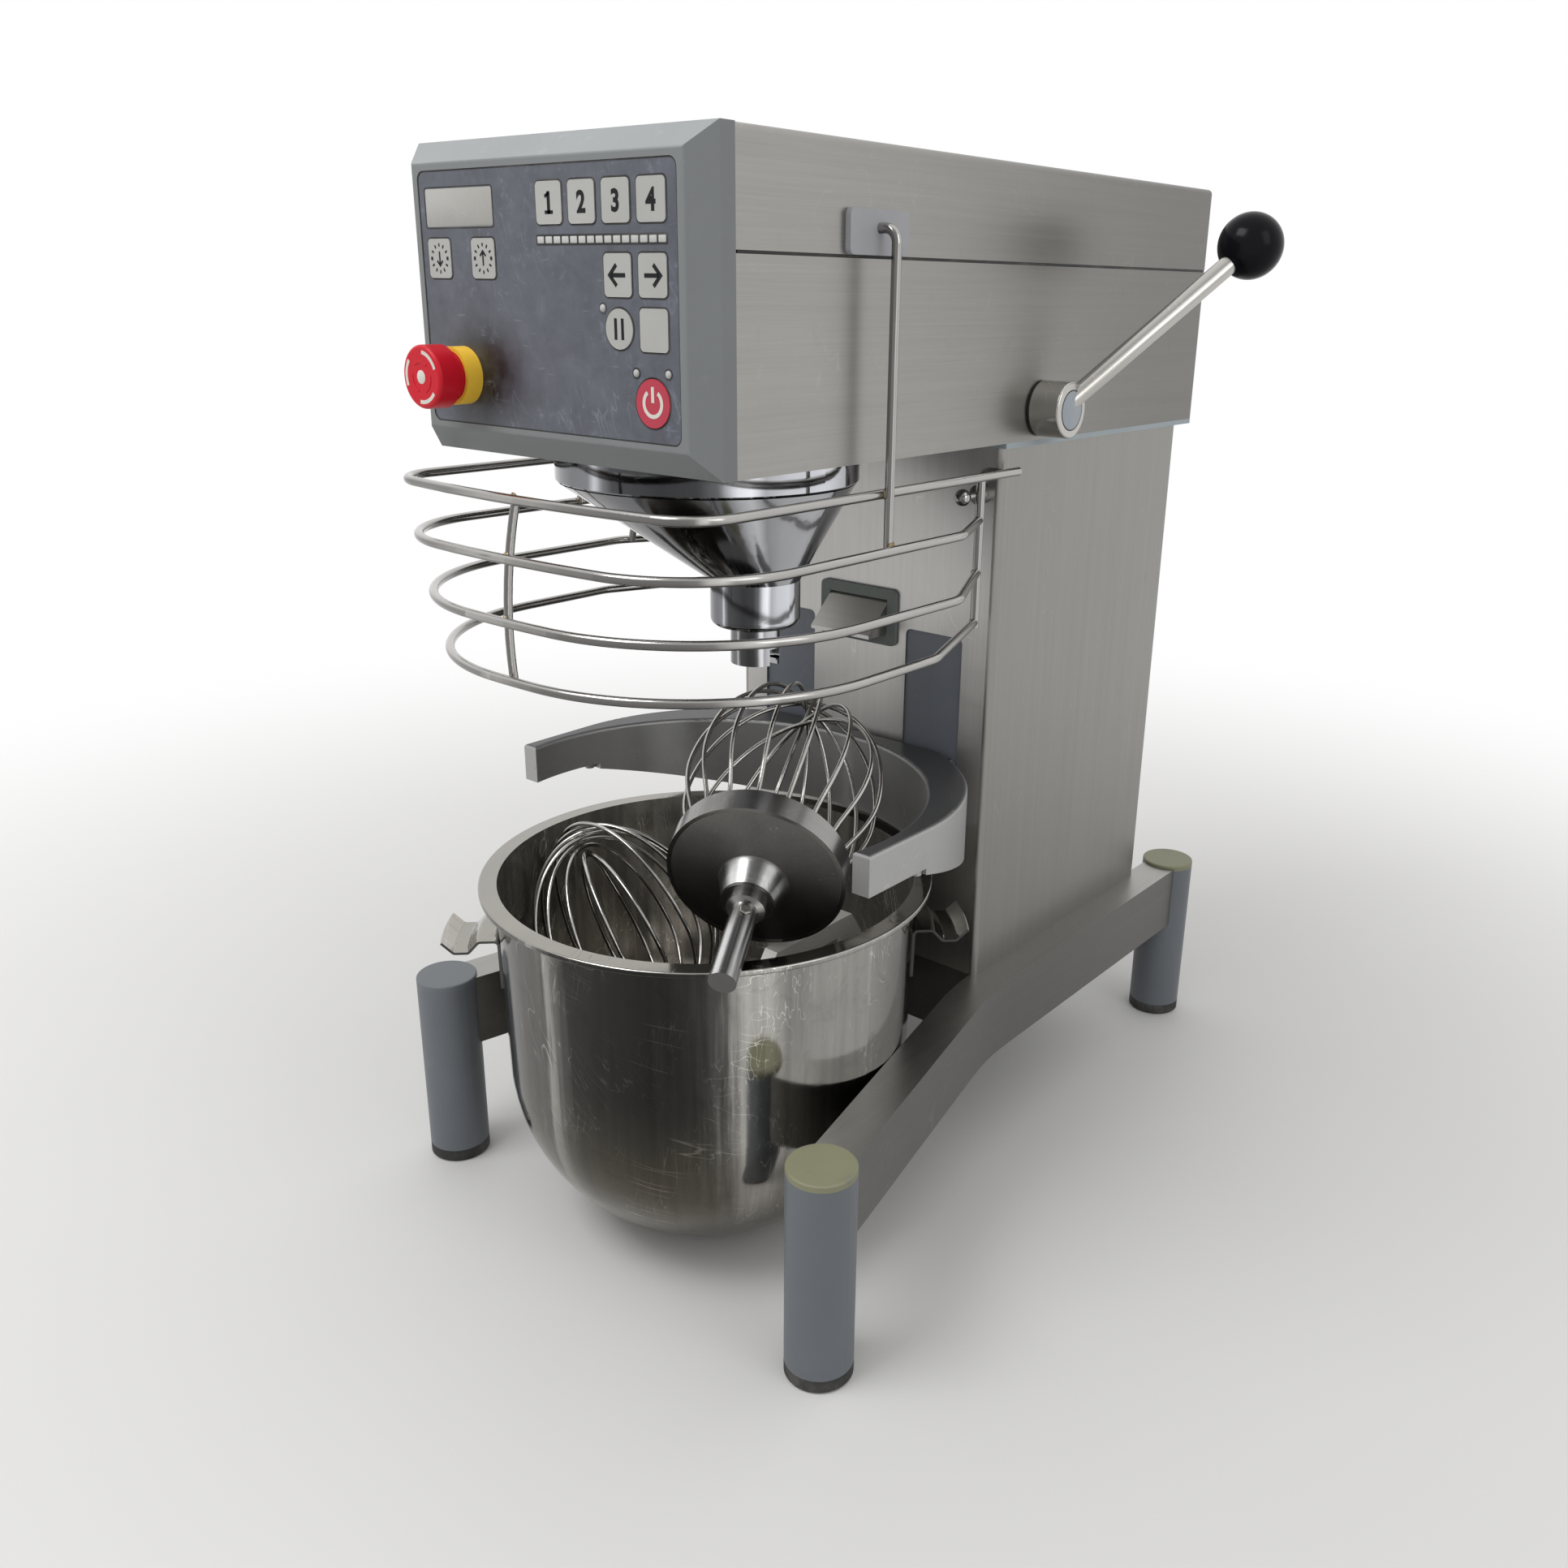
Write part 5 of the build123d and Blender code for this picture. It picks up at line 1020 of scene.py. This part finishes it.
def lever_hub():
    """A pale disc set in the end of the lever's hub, and the dark groove round it."""
    disc_paint = moulded("hub_disc", (0.33, 0.37, 0.41), 0.4, 1500.0, 0.3)
    hub_end = (HUB_FACE_X, LEVER_Y, LEVER_Z)
    disc = Shell()
    lathe(disc, [(-0.4, 14.3), (0.15, 14.3), (0.3, 14.0), (0.3, 0.0)], hub_end, (1, 0, 0), 64)
    disc.piece("lever_hub_disc", disc_paint, "lift_lever", 50)
    groove = Shell()
    lathe(groove, [(0.02, 15.2), (0.12, 15.2), (0.12, 14.3), (0.02, 14.3)], hub_end, (1, 0, 0), 64)
    groove.piece("lever_hub_groove", seam_black, "lift_lever", 50)


def head_path(inset):
    """The head's outline in plan from the right front round the back to the left front, moved inwards."""
    half, radius = HEAD_HALF_W - inset, HEAD_EDGE_R - inset
    right = arc(radius, 0, 90, 7) + (half - radius, HEAD_DEPTH - inset - radius)
    left = arc(radius, 90, 180, 7) + (radius - half, HEAD_DEPTH - inset - radius)
    return np.vstack([[half, 1.5], right, left, [-half, 1.5]])


def painted_seam_shadow():
    """A dark strip set in the gap between the lid and the tray of the head: the gap's painted shadow."""
    strip = Shell()
    ribbon(strip, head_path(0.35), head_path(1.35), SEAM_LOW, SEAM_HIGH)
    strip.piece("painted_seam_shadow_strip", seam_black, ROOT, 50)


def lever_gap_shadow():
    """A dark ring in the gap between the lever's hub and the side of the head: the gap's painted shadow."""
    gap_shadow = Shell()
    bore, edge, near, far = 10.6, 20.3, 0.15, 1.75
    ring = [(near, bore), (near, edge), (far, edge), (far, bore), (near, bore)]
    lathe(gap_shadow, ring, (HEAD_HALF_W, LEVER_Y, LEVER_Z), (1, 0, 0), 64)
    gap_shadow.piece("lever_hub_gap_shadow", seam_black, "lift_lever", 50)


lever_hub()
painted_seam_shadow()
lever_gap_shadow()

# ---------------------------------------------------------------- welds of the guard, cross pin of a whisk
# Height and front y of the guard's four rings, from the top, and the places of its uprights.
GUARD_RINGS = ((597.7, -58.0), (561.2, -66.0), (521.1, -69.7), (482.0, -68.2))
FRONT_UPRIGHT_X, ROD_X, ROD_Y, REAR_X, REAR_Y = -5.0, 153.0, 128.5, 128.0, 277.0
PIN_HEX_R, PIN_FOOT, PIN_END = 4.3, 6.0, 12.0
PIN_WAY = (0.417, -0.140, 0.898)
WHISK_NECK = 62.0


def guard_welds():
    """Brown beads where the guard's rings cross its front upright, its hanging rods and its rear uprights."""
    welds = Shell()
    for n, (height, front_y) in enumerate(GUARD_RINGS):
        bead(welds, (FRONT_UPRIGHT_X, front_y + 2.9, height), 2.9, n, (1.1, 0.8, 1.3))
        for hand in (-1, 1):
            if n < 2:
                at = (hand * (ROD_X - 2.4 + 4.6 * n), ROD_Y, height + 2.0 * n)
                bead(welds, at, 3.1, n + 4, (0.75, 1.1, 1.3))
            if n:
                bead(welds, (hand * REAR_X, REAR_Y - 1.4, height), 3.5, n + 9, (1.0, 1.0, 1.05))
    weld_brown = cast("weld_brown", (0.27, 0.205, 0.125), 0.30, 0.3, 900.0)
    welds.piece("guard_welds", weld_brown, "guard", 180)


def whisk_cross_pin():
    """The six-sided head of the pin across the neck of the leaning whisk, square to the whisk's axis."""
    up = np.array(DISC_UP)
    way = np.array(PIN_WAY)
    way = way - up * (way @ up)
    profile = [(PIN_FOOT, PIN_HEX_R), (PIN_END - 0.7, PIN_HEX_R), (PIN_END, PIN_HEX_R - 0.7), (PIN_END, 0.0)]
    pin = Shell()
    lathe(pin, profile, np.array(DISC_MID) - up * WHISK_NECK, way, 6)
    pin_steel = polished("cross_pin_steel", (1.0, 0.97, 0.9), 0.14, 0.4, 0.5, strength=0.6)
    pin.piece("whisk_cross_pin", pin_steel, "loose_bowl", 30)


guard_welds()
whisk_cross_pin()


# ---------------------------------------------------------------- floor and light
def seen_plainly(f):
    """1 for rays from the eye, from mirrors and through glass, otherwise 0."""
    path = f.node("LightPath")
    eye, mirror, glass = (f.out(path, f"Is {kind} Ray") for kind in ("Camera", "Glossy", "Transmission"))
    return (eye + mirror + glass).low(1.0)


def pale_floor():
    """A wide disc under the machine, white to the eye and to reflections of the far background.

    A flat middle, and rings of growing radius round it, 64 points each.
    """
    radii = np.array([0.8, 1.6, 3.0, 6.0, 12.0])[:, None]
    angles = np.linspace(0, 2 * np.pi, 65)[:-1]
    place = np.stack([radii * np.cos(angles), radii * np.sin(angles), np.zeros((5, 64))], axis=-1)
    rings = (place - ZERO) / MM
    disc = Shell()
    disc.lid(rings[0])
    disc.grid(rings, wrap_v=True)
    floor = linked("floor", disc.mesh("floor"))
    f = Finish("floor_pale")
    x, y, _ = f.axes()
    away = (x * x + y * y).root()
    grain = f.noise(f.place(), 3.0, 3.0)
    pale = f.shade((0.60, 0.60, 0.595), 0.98 + grain * 0.04)
    near = f.node("BsdfPrincipled", None, Base_Color=pale, Roughness=0.6)
    far = f.node("Emission", None, Color=(1.0, 1.0, 1.0), Strength=1.0)
    f.blend(seen_plainly(f) * away.step(0.45, 1.9), near, far, "OutputMaterial")
    floor.data.materials.append(f.data)


def room():
    """World: the same white background for the eye and for reflections, a soft dimmer light for the rest."""
    world = bpy.data.worlds.new("room")
    bpy.context.scene.world = world
    f = Finish("room", world)
    height = f.axes(f.out(f.node("TexCoord"), "Generated"))[2]
    level = 0.40 + height.step(-0.2, 0.9) * 0.60
    soft = f.node("Background", None, Color=f.shade((1.0, 0.99, 0.975), level), Strength=1.0)
    white = f.node("Background", None, Color=(1.0, 1.0, 1.0), Strength=1.0)
    f.blend(seen_plainly(f), soft, white, "OutputWorld")


def softbox(name, place, aim, size, watts):
    """A rectangular lamp at a place, turned to face a point; metres and watts."""
    lamp = bpy.data.lights.new(name, "AREA")
    lamp.shape = "RECTANGLE"
    lamp.size, lamp.size_y = size
    lamp.energy = watts
    holder = linked(name, lamp)
    holder.location = place
    holder.rotation_euler = (Vector(aim) - Vector(place)).to_track_quat("-Z", "Y").to_euler()


pale_floor()
room()
softbox("key", (-0.5, -1.5, 2.4), (0, 0, 0.45), (1.3, 1.0), 30)
softbox("fill", (2.3, -0.2, 1.7), (0, 0, 0.5), (1.0, 1.6), 8)
